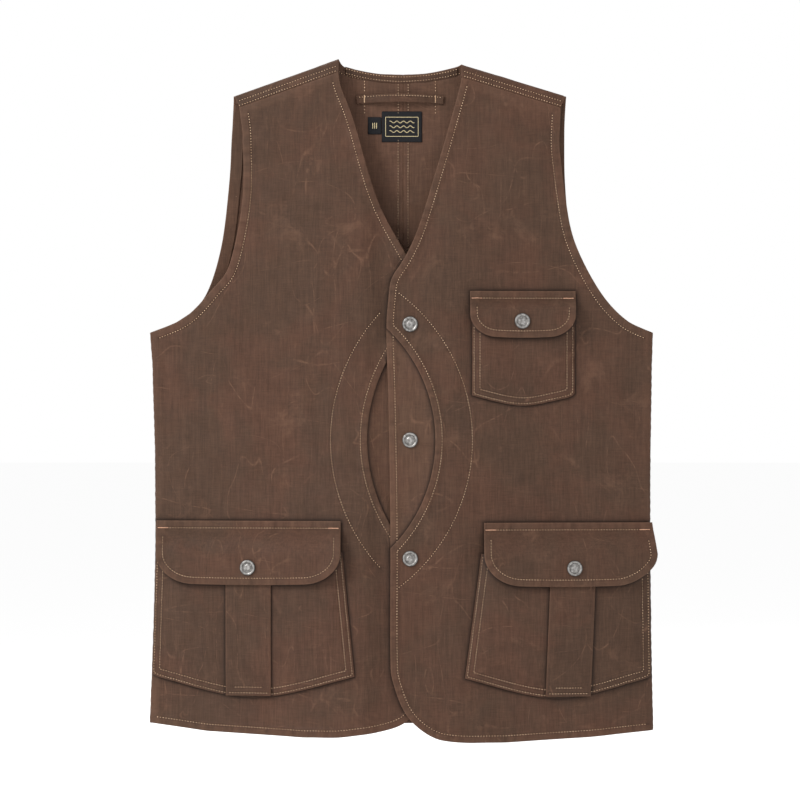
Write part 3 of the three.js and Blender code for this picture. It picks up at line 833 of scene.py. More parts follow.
def waxed_canvas(name, red=(76, 52.5, 40.5), olive=(70, 51, 39.5), fresh=1.0):
    n = Nodes(name)
    rest = n.attribute("rest", "Vector")
    patches = n.between(n.noise(rest, 11, 4, 0.62, 0.4), 0.38, 0.62, smooth=True)
    colour = n.mix(patches, linear(*olive), linear(*red))
    clouds = n.between(n.noise(rest, 46, 5, 0.65), 0.3, 0.7, 0.9, 1.1)
    weft = n.noise(n.scaled(rest, (950, 950, 70)), 1, 2, 0.6)
    warp = n.noise(n.scaled(rest, (90, 90, 950)), 1, 2, 0.6)
    slub = n.noise(n.scaled(rest, (420, 420, 16)), 1, 2, 0.6)
    threads = n.math("ADD", n.times(weft, 0.55), n.times(warp, 0.45))
    grain = n.between(threads, 0.3, 0.7, 0.79, 1.21)
    tone = n.times(n.times(clouds, grain), n.between(slub, 0.3, 0.7, 0.89, 1.11))
    colour = n.mix(1.0, colour, combine(n, tone), "MULTIPLY")

    here = n.between(n.noise(rest, 9, 2, 0.6), 0.42, 0.56, smooth=True)
    elsewhere = n.scaled(rest, (1, 1, 1), (0.4, 1.1, 0.3))
    there = n.between(n.noise(elsewhere, 16, 2, 0.6), 0.46, 0.6, smooth=True)
    long_lines = n.lines(rest, 9, 0.005, 0.25)
    steep = n.lines(n.scaled(rest, (1.0, 1.0, 0.3), (0, 0.5, 0)), 26, 0.008, 0.2)
    level = n.lines(n.scaled(rest, (0.3, 0.3, 1.0), (0, -0.3, 0)), 24, 0.007, 0.2)
    marks = n.times(here, n.math("MAXIMUM", long_lines, steep))
    marks = n.math("MAXIMUM", marks, n.times(there, level))
    broken = n.between(n.noise(rest, 120, 3, 0.7), 0.42, 0.62)
    marks = n.times(marks, broken)
    haze = n.times(n.between(n.noise(rest, 24, 5, 0.7, 0.5), 0.56, 0.74, smooth=True), 0.22 * fresh)
    pale = n.math("MAXIMUM", n.times(marks, 0.34 * fresh), haze)
    wear = n.attribute("wear", "Fac")
    rubbed = n.times(wear, n.between(n.noise(rest, 260, 4, 0.7), 0.25, 0.75, 0.3, 0.85))
    pale = n.math("MAXIMUM", pale, n.times(rubbed, 0.55))
    colour = n.mix(pale, colour, linear(128, 95, 76))
    # Painted shade: the cloth darkens along the edges of what lies on it and along its sewing, standing in
    # for contact shadows.
    dark = n.times(n.attribute("painted_shade", "Fac"), 0.72)
    colour = n.mix(dark, colour, linear(30, 20, 15))

    rough = n.between(n.noise(rest, 60, 4, 0.6), 0.3, 0.7, 0.56, 0.74)
    rough = n.math("ADD", rough, n.times(pale, 0.15), True)
    weave = n.bump(threads, 0.00022, 0.55)
    creased = n.bump(n.math("ADD", marks, n.times(n.noise(rest, 190, 4, 0.6), 0.8)), 0.0003, 0.5, weave)
    n.shader.inputs["Specular IOR Level"].default_value = 0.16
    return n.surface(Base_Color=colour, Roughness=rough, Normal=creased)


def combine(n, value):
    node = n.tree.nodes.new("ShaderNodeCombineColor")
    for k in range(3):
        n.feed(node.inputs[k], value)
    return node.outputs[0]


def thread_material():
    n = Nodes("tan_thread")
    rest = n.attribute("rest", "Vector")
    strands = n.noise(n.scaled(rest, (2600, 2600, 2600)), 1, 2, 0.6)
    paler = n.between(n.noise(rest, 70, 3), 0.35, 0.65)
    colour = n.mix(paler, linear(178, 142, 110), linear(216, 182, 148))
    colour = n.mix(1.0, colour, combine(n, n.between(strands, 0.3, 0.7, 0.8, 1.15)), "MULTIPLY")
    return n.surface(Base_Color=colour, Roughness=0.62, Normal=n.bump(strands, 0.0001, 0.6))


def bright_thread_material():
    n = Nodes("pale_thread")
    rest = n.attribute("rest", "Vector")
    strands = n.noise(n.scaled(rest, (2600, 2600, 2600)), 1, 2, 0.6)
    colour = n.mix(n.between(strands, 0.3, 0.7), linear(176, 130, 102), linear(226, 178, 148))
    return n.surface(Base_Color=colour, Roughness=0.55, Normal=n.bump(strands, 0.0001, 0.6))


def antique_nickel():
    n = Nodes("antique_nickel")
    rest = n.attribute("rest", "Vector")
    stains = n.between(n.noise(rest, 420, 5, 0.65), 0.35, 0.68, smooth=True)
    colour = n.mix(stains, (0.42, 0.405, 0.39, 1), (0.17, 0.162, 0.155, 1))
    # On metal the wear attribute holds dirt in the hollows and grooves and painted shade round the rim and
    # underside of a cap; both darken the colour here.
    dirt_and_shade = n.attribute("wear", "Fac")
    colour = n.mix(dirt_and_shade, colour, (0.05, 0.045, 0.04, 1))
    scuffs = n.noise(n.scaled(rest, (900, 900, 4200)), 1, 3, 0.6)
    rough = n.math("ADD", n.between(stains, 0, 1, 0.26, 0.42), n.times(dirt_and_shade, 0.35), True)
    n.shader.inputs["Metallic"].default_value = 1.0
    return n.surface(Base_Color=colour, Roughness=rough, Normal=n.bump(scuffs, 0.00005, 0.5))


def woven_satin(name, colour):
    n = Nodes(name)
    rest = n.attribute("rest", "Vector")
    ribs = n.noise(n.scaled(rest, (400, 400, 5200)), 1, 2, 0.6)
    lit = tuple(min(1, c * 1.7 + 0.004) for c in colour[:3]) + (1,)
    shade = n.mix(n.between(ribs, 0.3, 0.7), colour, lit)
    n.shader.inputs["Specular IOR Level"].default_value = 0.2
    return n.surface(Base_Color=shade, Roughness=0.6, Normal=n.bump(ribs, 0.0001, 0.6))


CANVAS = waxed_canvas("waxed_canvas")
BACK_CANVAS = waxed_canvas("back_canvas", (86, 61, 48), (82, 59, 46), 0.8)
PANEL_CANVAS = waxed_canvas("panel_canvas", (84, 59, 46), (80, 58, 45))
LINING = waxed_canvas("lining_canvas", (82, 59, 46), (77, 57, 45), 0.5)
THREAD = thread_material()
PALE_THREAD = bright_thread_material()
NICKEL = antique_nickel()
LABEL_BLACK = woven_satin("label_black", linear(11, 11, 15))
LABEL_CREAM = woven_satin("label_cream", linear(196, 180, 140))


# ---------------------------------------------------------------- fronts

BEND = 7
BEND_HEIGHT = -0.3
NEAR_SEAM = 2.5
# An edge further out and higher than this belongs to an armhole.
ARMHOLE_ZONE = (140, -260)


def bend_points(side):
    """Where the cloth starts and ends its turn at the fold line, from the fixed side to the wing."""
    shift = SIGN[side] * BEND
    return tuple(((FOLD_LINE[side] + move) * MM, 0, BEND_HEIGHT) for move in (shift, -shift))


def is_shoulder(x, z):
    return z > shoulder_fold(x) - SEAM_DROP - NEAR_SEAM


def is_side(x, z):
    return (np.abs(x) > side_edge(x, z) - NEAR_SEAM) & (z < -ARMHOLE_DROP - 1)


def hem_distance(x, z):
    return np.where((np.abs(x) > ARMHOLE_ZONE[0]) & (z > ARMHOLE_ZONE[1]), ARMHOLE_ROW, HEM_ROW)


def arc_row(side):
    """The outer arc of sewing round the crescent pocket, from the under panel's own outline."""
    loop = outer_loop(f"{side}_crescent_panel", -1)
    sign = SIGN[side]
    middle = (loop[:, 1].min() + loop[:, 1].max()) / 2
    away = (np.abs(loop[:, 1] - middle) > 40) & (sign * loop[:, 0] > sign * (FOLD_LINE[side] - sign * 46))
    arc = loop[away & (np.abs(loop[:, 0] - FOLD_LINE[side]) > 1)]
    return fit_circle(arc)


def fit_circle(points):
    x, z = points[:, 0], points[:, 1]
    rows = np.stack([2 * x, 2 * z, np.ones(len(x))], axis=1)
    a, b, c = np.linalg.lstsq(rows, x * x + z * z, rcond=None)[0]
    return a, b, math.sqrt(c + a * a + b * b)


def closed_line(node):
    return around(outer_loop(node, -1), EDGE_SPACING)


def opening_arc(side):
    """The edge of a crescent opening."""
    reach, radius = OPENING[side]
    turns = np.linspace(-math.pi / 2, math.pi / 2, 500)
    return half_disc(reach - SIGN[side] * radius, MIDDLE_SNAP, SIGN[side], radius, turns)


def lines_on(side):
    """The edges of the pieces that lie on a front panel."""
    if side == "right":
        edge = outer_loop("left_front_wing", -1)
        edge = edge[(edge[:, 0] < 9) & (edge[:, 1] < -160)]
        panel = outer_loop("left_crescent_panel", -1)
        panel = panel[panel[:, 0] < -4]
        edge = np.concatenate([edge, panel])
        edge = edge[np.argsort(edge[:, 1])]
        return [closed_line("right_pocket_bag"), flap_line("right"), resample(edge, EDGE_SPACING)]
    pockets = [closed_line(f"{name}_pocket_bag") for name in ("left", "chest")]
    return [*pockets, flap_line("left"), flap_line("chest")]


def flap_line(name):
    return around(flap_outline(name, span(f"{name}_flap_band")[1][2]), EDGE_SPACING)


def front_outline(side):
    """The whole front as one outline, from the nodes that it is cut into in the CAD part."""
    sign = SIGN[side]
    fold = FOLD_LINE[side]
    side_loop = outer_loop(f"{side}_front_side", -1)
    turn = side_loop[:, 0].max() if sign > 0 else side_loop[:, 0].min()
    chains = [
        *cut_open(side_loop, fold, turn),
        *cut_open(outer_loop(f"{side}_front_wing", -1), fold),
        *cut_open(outer_loop(f"{side}_side_fold", -1), turn, turn + sign * CLEARANCE),
    ]
    whole = [chains.pop(0)]
    while chains:
        end = whole[-1][-1]
        chains.sort(key=lambda chain: np.linalg.norm(chain[0] - end))
        whole.append(chains.pop(0))
    return np.concatenate(whole)


def add_front(side):
    face = front_face if side == "left" else right_front_face
    loop = smooth_loop(front_outline(side), 2.2)
    hems = inset_rows(loop, hem_distance, lambda x, z: ~is_shoulder(x, z) & ~is_side(x, z))
    sign = SIGN[side]
    centre_x, centre_z, radius = arc_row(side)
    arc = half_disc(centre_x, centre_z, sign, radius, np.linspace(-math.pi / 2, math.pi / 2, 400))
    edge_x = -3 if side == "left" else -20
    arc = arc[(sign * arc[:, 0] > sign * edge_x) & inside(loop, arc)]
    rows = [resample(arc, ROW_SPACING)]
    blend = bend_points(side)
    cloth = Cloth(loop, face, -1, rows, hems, seed=11 if side == "left" else 12, under=lines_on(side))
    cloth.build(f"{side}_front_cloth", CLOTH, 3.6, CANVAS, "waxed_canvas", f"{side}_front",
                [f"{side}_front_side", f"{side}_front_wing", f"{side}_side_fold"], blend)
    sew(f"{side}_front_thread", 21, cloth, (*rows, *hems), f"{side}_front", blend)


def add_crescent(side):
    sign = SIGN[side]
    chain = cut_open(outer_loop(f"{side}_crescent_panel", -1), FOLD_LINE[side])[0]
    centre_x, centre_z, radius = arc_row(side)
    ends = [math.atan2(p[1] - centre_z, sign * (p[0] - centre_x)) for p in (chain[-1], chain[0])]
    arc = half_disc(centre_x, centre_z, sign, radius, np.linspace(*ends, 14)[1:-1])
    loop = smooth_loop(np.concatenate([chain, arc]), 2.2)
    on_edge = lambda x, z: np.abs(np.hypot(x - centre_x, z - centre_z) - radius) > 3
    hems = inset_rows(loop, HEM_ROW, on_edge)
    blend = bend_points(side)
    seed = 31 if side == "left" else 32
    cloth = Cloth(loop, crescent_face(side), -1, (), hems, seed=seed, under=[opening_arc(side)])
    cloth.build(f"{side}_crescent_cloth", CLOTH, 3.6, PANEL_CANVAS, "waxed_canvas", f"{side}_front",
                [f"{side}_crescent_panel"], blend)
    sew(f"{side}_crescent_thread", 22, cloth, hems, f"{side}_front", blend)


# ---------------------------------------------------------------- shoulders and back

SHOULDER_ROWS = (6.8, 11.8)
SEAM_ROW = 5.2
FELL_ROW = 1.8


def add_shoulder(side):
    loop = smooth_loop(outer_loop(f"{side}_shoulder_strip", -1), 2.0)
    xs = np.linspace(HALF_NECK + 2, HALF_SHOULDER - 3, 60) * SIGN[side]
    rows = [across_and_up(xs, shoulder_fold(xs) - drop) for drop in SHOULDER_ROWS]
    cloth = Cloth(loop, front_face, -1, [resample(row, ROW_SPACING) for row in rows], seed=41)
    cloth.build(f"{side}_shoulder_cloth", CLOTH, 2.6, CANVAS, "waxed_canvas", "vest",
                [f"{side}_shoulder_strip"])
    sew(f"{side}_shoulder_thread", 23, cloth, rows)


def add_back(side):
    loop = smooth_loop(outer_loop(f"{side}_back", 1), 2.4)
    middle = middle_of("centre_back_seam")[0]

    def hemmed(x, z):
        off_seam = np.abs(x - middle) > 1.2
        free = (z < shoulder_fold(x) - 3) & ~is_side(x, z)
        neck = (np.abs(x) < HALF_NECK - 3) & (z > 10)
        return off_seam & (free | neck)

    hems = inset_rows(loop, hem_distance, hemmed)
    zs = np.linspace(loop[:, 1].min() + 3, 22, 500)
    seam = across_and_up(middle + SIGN[side] * SEAM_ROW, zs)
    cloth = Cloth(loop, back_face, 1, [seam], hems, seed=51 if side == "left" else 52)
    cloth.build(f"{side}_back_cloth", CLOTH, 4.2, BACK_CANVAS, "waxed_canvas", "vest", [f"{side}_back"])
    thread = Thread(24)
    for row in hems:
        thread.row(cloth, row).row(cloth, row, CLOTH)
    thread.row(cloth, seam, CLOTH).build(f"{side}_back_thread", "vest", THREAD)
    return cloth


def add_felled_seam(node, name):
    """A flat felled seam on the outside of the back, with two rows of sewing."""
    loop = smooth_loop(outer_loop(node, 1), 2.4)
    raised = CLEARANCE + THIN_CLOTH
    face = lambda x, z: back_face(x, z) + raised - 0.25
    low, high = loop.min(0), loop.max(0)
    zs = np.arange(low[1] + 2, high[1] - 2, ROW_SPACING)
    rows = [across_and_up(x, zs) for x in (low[0] + FELL_ROW, high[0] - FELL_ROW)]
    cloth = Cloth(loop, face, 1, rows, pucker=0.16, seed=61)
    cloth.build(name, THIN_CLOTH, 3.0, CANVAS, "waxed_canvas", "vest", [node])
    sew(f"{name}_thread", 25, cloth, rows)


def add_allowance(name, outer, inner):
    """The seam allowances of front and back, which lie together inside the fold and close it."""
    face = lambda x, z: FOLD_PLANE - ALLOWANCE / 2 + 0 * x
    loop = np.concatenate([outer, inner[::-1]])
    if shoelace(loop) < 0:
        loop = loop[::-1]
    cloth = Cloth(loop, face, -1, pucker=0, seed=91)
    cloth.build(name, ALLOWANCE, 2.5, CANVAS, "waxed_canvas", "vest", [])


def add_side_allowance(side):
    lowest = max(span(f"{side}_side_fold")[0][2], span(f"{side}_back")[0][2]) + 1
    zs = np.linspace(lowest, -ARMHOLE_DROP - 3, 80)
    edge = SIGN[side] * side_edge(SIGN[side], zs)
    outer, inner = (across_and_up(edge - SIGN[side] * back, zs) for back in (0.1, 9))
    add_allowance(f"{side}_side_allowance_cloth", outer, inner)


def add_shoulder_allowance(side):
    xs = SIGN[side] * np.linspace(HALF_NECK + 0.5, HALF_SHOULDER - 0.5, 40)
    outer, inner = (across_and_up(xs, shoulder_fold(xs) - down) for down in (0.1, 8.6))
    add_allowance(f"{side}_shoulder_allowance_cloth", outer, inner)


def add_facing(node, name, base_face, outwards):
    """A strip of thin cloth on the inner side of a panel."""
    loop = smooth_loop(outer_loop(node, outwards), 2.2)
    shift = (CLOTH + CLEARANCE) * -outwards
    cloth = Cloth(loop, lambda x, z: base_face(x, z) + shift, outwards, pucker=0, seed=71)
    cloth.build(name, THIN_CLOTH * 0.8, 3.2, LINING, "lining_canvas", "vest", [node])


# ---------------------------------------------------------------- neck: loop, label, tab

def inner_back(x, z, depth):
    return back_face(x, z) - CLOTH - CLEARANCE - depth


NECK_EDGE_X = [-HALF_NECK, -56, -28, 0, 28, 56, HALF_NECK]
NECK_EDGE_Z = [NECK_HEIGHT["right"], 33.2, 27.3, 25.0, 26.8, 31.5, NECK_HEIGHT["left"]]
BINDING = THIN_CLOTH * 0.7
LOOP_BOW = 6.0
LOOP_TACK = 37


def add_neck_binding():
    """The turned edge along the back neck, on the inside."""
    xs = np.linspace(-HALF_NECK + 7, HALF_NECK - 4, 60)
    edge = np.interp(xs, NECK_EDGE_X, NECK_EDGE_Z)
    edge = np.convolve(np.pad(edge, 5, mode="reflect", reflect_type="odd"), np.ones(11) / 11, "valid")
    top, upper, row, bottom = (across_and_up(xs, edge - drop) for drop in (1.0, 2.6, 7.2, 9.0))
    loop = around(np.concatenate([bottom, top[::-1]]), 2.0)[:-1]
    face = lambda x, z: inner_back(x, z, BINDING)
    cloth = Cloth(loop, face, -1, [resample(row, ROW_SPACING)], pucker=0.3, seed=71)
    cloth.build("neck_facing_cloth", BINDING, 2.2, CANVAS, "lining_canvas", "vest", ["back_neck_facing"])
    sew("neck_facing_thread", 33, cloth, (row, upper))


def add_hanger_loop():
    low, high = span("hanger_loop")
    half = high[0]

    def face(x, z):
        bowed = np.maximum(0, 1 - (x / LOOP_TACK) ** 2)
        return inner_back(x, np.minimum(z, 0), THIN_CLOTH + CLEARANCE + 1.4) - LOOP_BOW * bowed

    arch = lambda x: 2.0 * (1 - (x / half) ** 2)
    xs = np.linspace(-half, half, 46)
    top, row, bottom = (across_and_up(xs, z + arch(xs)) for z in (high[2] - 1.5, high[2] - 3.2, low[2] - 1.0))
    loop = np.concatenate([bottom, top[::-1]])
    row = row[1:-1]
    cloth = Cloth(loop, face, -1, [resample(row, ROW_SPACING)], pucker=0.1, seed=81)
    cloth.build("hanger_loop_cloth", 1.3, 1.6, CANVAS, "waxed_canvas", "vest", ["hanger_loop"])
    thread = Thread(26).row(cloth, row)
    for x in (-LOOP_TACK, LOOP_TACK):
        thread.bartack(cloth, (x, low[2] + 0.5), (x, high[2] - 0.5), 1.4)
    thread.build("hanger_loop_thread", "vest", THREAD)


def add_tack_lines(cloth_by_side):
    """Short upright rows of sewing above and below the ends of the hanger loop."""
    thread = Thread(27)
    for side in ("right", "left"):
        for z0, z1 in ((7, 20), (-16, -6)):
            line = across_and_up(SIGN[side] * LOOP_TACK, np.linspace(z0, z1, 12))
            thread.row(cloth_by_side[side], line, CLOTH + (THIN_CLOTH + CLEARANCE if z0 > 0 else 0))
    thread.build("neck_tack_thread", "vest", THREAD)


LABEL_WIDTH = 42
TAB_TOP = -19
TAB_HEIGHT = 18


def add_label(name, low, high, nodes, motif):
    loop = around(np.array([low, (high[0], low[1]), high, (low[0], high[1])]), 1.5)[:-1]
    cloth = Cloth(loop, lambda x, z: inner_back(x, z, 0.75), -1, pucker=0, seed=91)
    cloth.build(name, 0.55, 1.8, LABEL_BLACK, "label_satin", "vest", nodes)
    verts, faces = [], []
    for points, width in motif(low, high):
        ribbon(cloth, np.array(points, float), width, verts, faces)
    carry(make_mesh(f"{name}_motif", np.concatenate(verts), faces, LABEL_CREAM), "vest")


def ribbon(cloth, line, width, verts, faces):
    """A flat woven line on a label, as a thin closed bar."""
    line = resample(line, 0.8)
    across = normals_of(line, False) * width / 2
    base = sum(len(v) for v in verts)
    for lift in (0.16, -0.12):
        for shift in (across, -across):
            at, _ = cloth.lay(line + shift, lift)
            verts.append(at)
    n = len(line)
    left, right, left_low, right_low = (base + k * n for k in range(4))
    for i in range(n - 1):
        faces.append((left + i, right + i, right + i + 1, left + i + 1))
        faces.append((left_low + i, left_low + i + 1, right_low + i + 1, right_low + i))
        faces.append((left + i, left + i + 1, left_low + i + 1, left_low + i))
        faces.append((right + i, right_low + i, right_low + i + 1, right + i + 1))
    faces.append((left, left_low, right_low, right))
    faces.append((left + n - 1, right + n - 1, right_low + n - 1, left_low + n - 1))


def label_motif(low, high):
    """A plain frame round three waves."""
    cx, cz = (low[0] + high[0]) / 2, (low[1] + high[1]) / 2
    w, h = (high[0] - low[0]) / 2 - 4, (high[1] - low[1]) / 2 - 6
    corners = [(cx + w * i, cz + h * j) for i, j in ((-1, -1), (1, -1), (1, 1), (-1, 1), (-1, -1))]
    lines = [(corners, 0.45)]
    for k in (-1, 0, 1):
        xs = np.linspace(cx - w + 4, cx + w - 4, 60)
        lines.append((across_and_up(xs, cz + k * 5 + 1.1 * np.sin((xs - cx) * 0.9)), 0.5))
    return lines


def tab_motif(low, high):
    cx, cz = (low[0] + high[0]) / 2, (low[1] + high[1]) / 2
    return [([(cx - 2 + 2 * k, cz - 3), (cx - 2 + 2 * k, cz + 3)], 0.6) for k in range(3)]


# ---------------------------------------------------------------- pockets

POCKETS = {
    "left": {"inner": (87, 67.3), "outer": (HALF_CHEST["left"] - 4, HALF_CHEST["left"] - 2),
             "hinge": -HEM_DROP + 219, "mouth": 24, "bottom": -HEM_DROP + 68, "sag": 23, "bulge": 10},
    "right": {"inner": (-62, -47), "outer": (-HALF_CHEST["right"] + 7, -HALF_CHEST["right"] + 2),
              "hinge": -HEM_DROP + 221, "mouth": 24, "bottom": -HEM_DROP + 70, "sag": 24, "bulge": 10},
    "chest": {"inner": (74.5, 74.5), "outer": (181.4, 181.4), "hinge": -209, "mouth": 12, "bottom": -307,
              "sag": 13, "bulge": 7},
}
SEAT = CLOTH + CLEARANCE + 0.2
PLEAT_STAND = 1.5
FLAP_FOLD_STAND = 3.2
LINING_GAP = 0.3
FLAP_LAYERS = CLOTH + LINING_GAP + THIN_CLOTH
FOOT_SAG = 0.7
LEFT_FLAP_BOW = 5
FOLD_ROW_RISE = 0.4
BAND_TACK = 11
FLAP_CORNER = {"left": (40, 33), "right": (40, 32), "chest": (29, 24)}


def pocket_stand(p, x, z):
    run = (p["hinge"] - z) / (p["hinge"] - p["bottom"])
    inner, outer = (p[edge][0] + (p[edge][1] - p[edge][0]) * run for edge in ("inner", "outer"))
    across = np.minimum(1, np.abs(x - (inner + outer) / 2) / (np.abs(outer - inner) / 2))
    mouth = p["hinge"] - p["mouth"]
    down = np.clip((mouth - z) / (mouth - p["bottom"] + p["sag"]), 0, 1)
    return SEAT + p["bulge"] * (1 - across ** 6) * (1 - down ** 3)


def add_pocket(name):
    p = POCKETS[name]
    bag_face = lambda x, z: front_plane(x, z) + drape(x, z) - pocket_stand(p, x, z)
    loop = smooth_loop(outer_loop(f"{name}_pocket_bag", -1), 2.0)
    mouth = p["hinge"] - p["mouth"]
    below = lambda x, z: z < mouth - 1.5
    rows = inset_rows(loop, 2.2, below) + inset_rows(loop, 8.2, below)
    top = inset_rows(loop, HEM_ROW, lambda x, z: z > mouth - 1.5)
    lines = [flap_line(name)] + ([closed_line(f"{name}_pocket_pleat")] if name != "chest" else [])
    cloth = Cloth(loop, bag_face, -1, rows + top, pucker=0.26, seed=len(name) + 100, under=lines)
    cloth.build(f"{name}_pocket_cloth", CLOTH, 3.0, CANVAS, "waxed_canvas", "vest", [f"{name}_pocket_bag"])
    sew(f"{name}_pocket_thread", 28, cloth, rows + top)
    if name != "chest":
        add_pleat(name, bag_face)
    add_flap(name, p)


def raised_by(name):
    """How far the pleat lifts what lies on a pocket."""
    return 0 if name == "chest" else THIN_CLOTH + CLEARANCE


def add_pleat(name, bag_face):
    loop = smooth_loop(outer_loop(f"{name}_pocket_pleat", -1), 2.0)
    low, high = loop.min(0), loop.max(0)
    middle, half = (low[0] + high[0]) / 2, (high[0] - low[0]) / 2

    def face(x, z):
        across = np.clip(np.abs(x - middle) / half, 0, 1)
        return bag_face(x, z) - raised_by(name) - PLEAT_STAND * (1 - 0.25 * across ** 4)

    at_foot = lambda x, z: z < low[1] + 6
    rows = inset_rows(loop, 3.0, at_foot) + inset_rows(loop, 9.0, at_foot)
    cloth = Cloth(loop, face, -1, rows, pucker=0.16, seed=len(name) + 120)
    cloth.build(f"{name}_pleat_cloth", THIN_CLOTH + PLEAT_STAND, 2.8, CANVAS, "waxed_canvas", "vest",
                [f"{name}_pocket_pleat"])
    if rows:
        sew(f"{name}_pleat_thread", 29, cloth, rows)


def flap_outline(name, top):
    """A flap down from its top edge: straight ends, then corners that are quarters of an oval."""
    low, high = span(f"{name}_flap")
    across, down = FLAP_CORNER[name]
    x0, x1, foot = low[0], high[0], low[2]
    turns = np.linspace(0, math.pi / 2, 24)
    left = across_and_up(x0 + across * (1 - np.cos(turns)), foot + FOOT_SAG + down * (1 - np.sin(turns)))
    right = across_and_up(x1 - across * (1 - np.cos(turns)), left[:, 1])[::-1]
    foot_x = np.linspace(x0 + across, x1 - across, 24)[1:-1]
    middle = (x0 + x1) / 2
    sag = FOOT_SAG * ((foot_x - middle) / (x1 - across - middle)) ** 2
    points = np.concatenate([[(x0, top)], left, across_and_up(foot_x, foot + sag), right, [(x1, top)]])
    if name == "left":
        run = np.clip((top - points[:, 1]) / (top - foot), 0, 1)
        points[:, 0] += np.where(points[:, 0] > middle, LEFT_FLAP_BOW * np.sin(math.pi * run) ** 2, 0)
    closed = np.concatenate([points, points[:1]])
    parts = (closed[:2], closed[1:-2], closed[-3:-1], closed[-2:])
    return np.concatenate([resample(part, 2.0)[:-1] for part in parts])


def flap_face(name):
    p = POCKETS[name]
    snap_x, _, snap_z = middle_of(f"{name}_snap_cap")
    full = pocket_stand(p, snap_x, snap_z) + raised_by(name) + SNAP_SPACE + FLAP_LAYERS
    reach = p["hinge"] - snap_z - SNAP_RADIUS - 1

    def face(x, z):
        share = np.clip((p["hinge"] - z) / reach, 0, 1)
        stand = FLAP_FOLD_STAND + (full - FLAP_FOLD_STAND) * (1 - (1 - share) ** 2)
        return front_plane(x, z) + drape(x, z) - stand

    return face


def add_flap(name, p):
    hinge = p["hinge"]
    body = f"{name}_pocket_flap"
    face = flap_face(name)
    loop = flap_outline(name, span(f"{name}_flap_band")[1][2])
    low, high = loop.min(0), loop.max(0)
    xs = np.arange(low[0] + 1.5, high[0] - 1.5 - (LEFT_FLAP_BOW if name == "left" else 0), ROW_SPACING)
    row_z = hinge + FOLD_ROW_RISE
    fold_row = across_and_up(xs, row_z)
    hems = inset_rows(loop, HEM_ROW, lambda x, z: z < hinge - 8)
    bend = tuple(((low[0] + high[0]) / 2 * MM, 0, (hinge - drop) * MM) for drop in (0.8, 5.5))
    cloth = Cloth(loop, face, -1, (), [*hems, fold_row], puff=0.4, pucker=0.26, seed=len(name) + 140)
    cloth.build(f"{name}_flap_cloth", CLOTH, 3.0, CANVAS, "waxed_canvas", body,
                [f"{name}_flap", f"{name}_flap_band"], bend)
    sew(f"{name}_flap_thread", 30, cloth, hems, body)
    sew(f"{name}_band_thread", 31, cloth, [fold_row])
    tacks = Thread(32)
    for start in (xs[0], xs[-1] - BAND_TACK):
        tacks.bartack(cloth, (start, row_z), (start + BAND_TACK, row_z), 1.3)
    tacks.build(f"{name}_band_tacks", "vest", PALE_THREAD)

    lining_face = lambda x, z: face(x, z) + CLOTH + LINING_GAP
    lining = Cloth(flap_outline(name, hinge - 3), lining_face, -1, pucker=0.2, seed=len(name) + 160)
    lining.build(f"{name}_flap_lining_cloth", THIN_CLOTH, 4.0, LINING, "lining_canvas", body,
                 [f"{name}_flap_lining"])


# ---------------------------------------------------------------- snaps

def revolve(profile, segments=56):
    """A closed surface turned round Y from (radius, y) points that start and end on the axis."""
    place = lambda i, turn: (profile[i][0] * math.cos(turn), profile[i][1], profile[i][0] * math.sin(turn))
    verts, faces = turned([radius for radius, _ in profile], segments, place)
    return verts, [face[::-1] for face in faces]


def placed(verts, node, face):
    """Turns a piece made round Y square to the cloth and puts it where the CAD node is."""
    x, _, z = middle_of(node)
    across, up = slopes(face, x, z, 4.0)
    b, a = -math.atan(up), math.atan(across)
    turn_x = np.array([[1, 0, 0], [0, math.cos(b), -math.sin(b)], [0, math.sin(b), math.cos(b)]])
    turn_z = np.array([[math.cos(a), -math.sin(a), 0], [math.sin(a), math.cos(a), 0], [0, 0, 1]])
    return verts @ (turn_z @ turn_x).T + np.array([x, face(x, z), z])


CAP = [(0, -1.75), (1.2, -1.78), (1.7, -1.95), (2.3, -2.1), (2.9, -1.95), (3.3, -1.7), (4.4, -1.62),
       (5.2, -1.66), (5.5, -1.9), (6.2, -2.35), (7.0, -2.4), (7.7, -2.15), (8.05, -1.6), (8.1, -1.0),
       (7.9, -0.5), (7.2, -0.35), (2.0, -0.35), (2.0, 0.3), (0, 0.3)]
BEAD = [(0, -2.0), (0.22, -1.94), (0.3, -1.7), (0.3, -1.5), (0, -1.5)]
BEADS = 30
BEAD_RING = 4.25


def cap_dirt_and_shade(verts):
    """How dark a cap is: dirt in the hollow of its face and in its grooves, and painted shade round its rim
    and on its underside by the cloth, standing in for the contact shadow round the snap.
    """
    radius, height = np.hypot(verts[:, 0], verts[:, 2]), verts[:, 1]
    hollow = np.where((radius > 3.1) & (radius < 5.5) & (height > -1.75), 0.3, 0.08)
    groove = 0.5 * np.exp(-((radius - 5.35) / 0.3) ** 2)
    # Painted shade: the rim and the underside next to the cloth are darkened as a contact shadow round the
    # snap.
    rim = 0.75 * np.clip((radius - 7.1) / 0.7, 0, 1)
    return hollow + groove + rim + 0.9 * np.exp(-((height + 0.4) / 0.25) ** 2)


def add_metal(name, body, verts, faces, face, dirt_and_shade):
    """A metal piece of a snap, in the place of the CAD node of that name."""
    obj = make_mesh(f"{name}_metal", placed(verts, name, face), faces, NICKEL)
    # On metal the wear attribute carries dirt and painted shade.
    add_attribute(obj, "wear", dirt_and_shade)
    carry(obj, body)
    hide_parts(name)


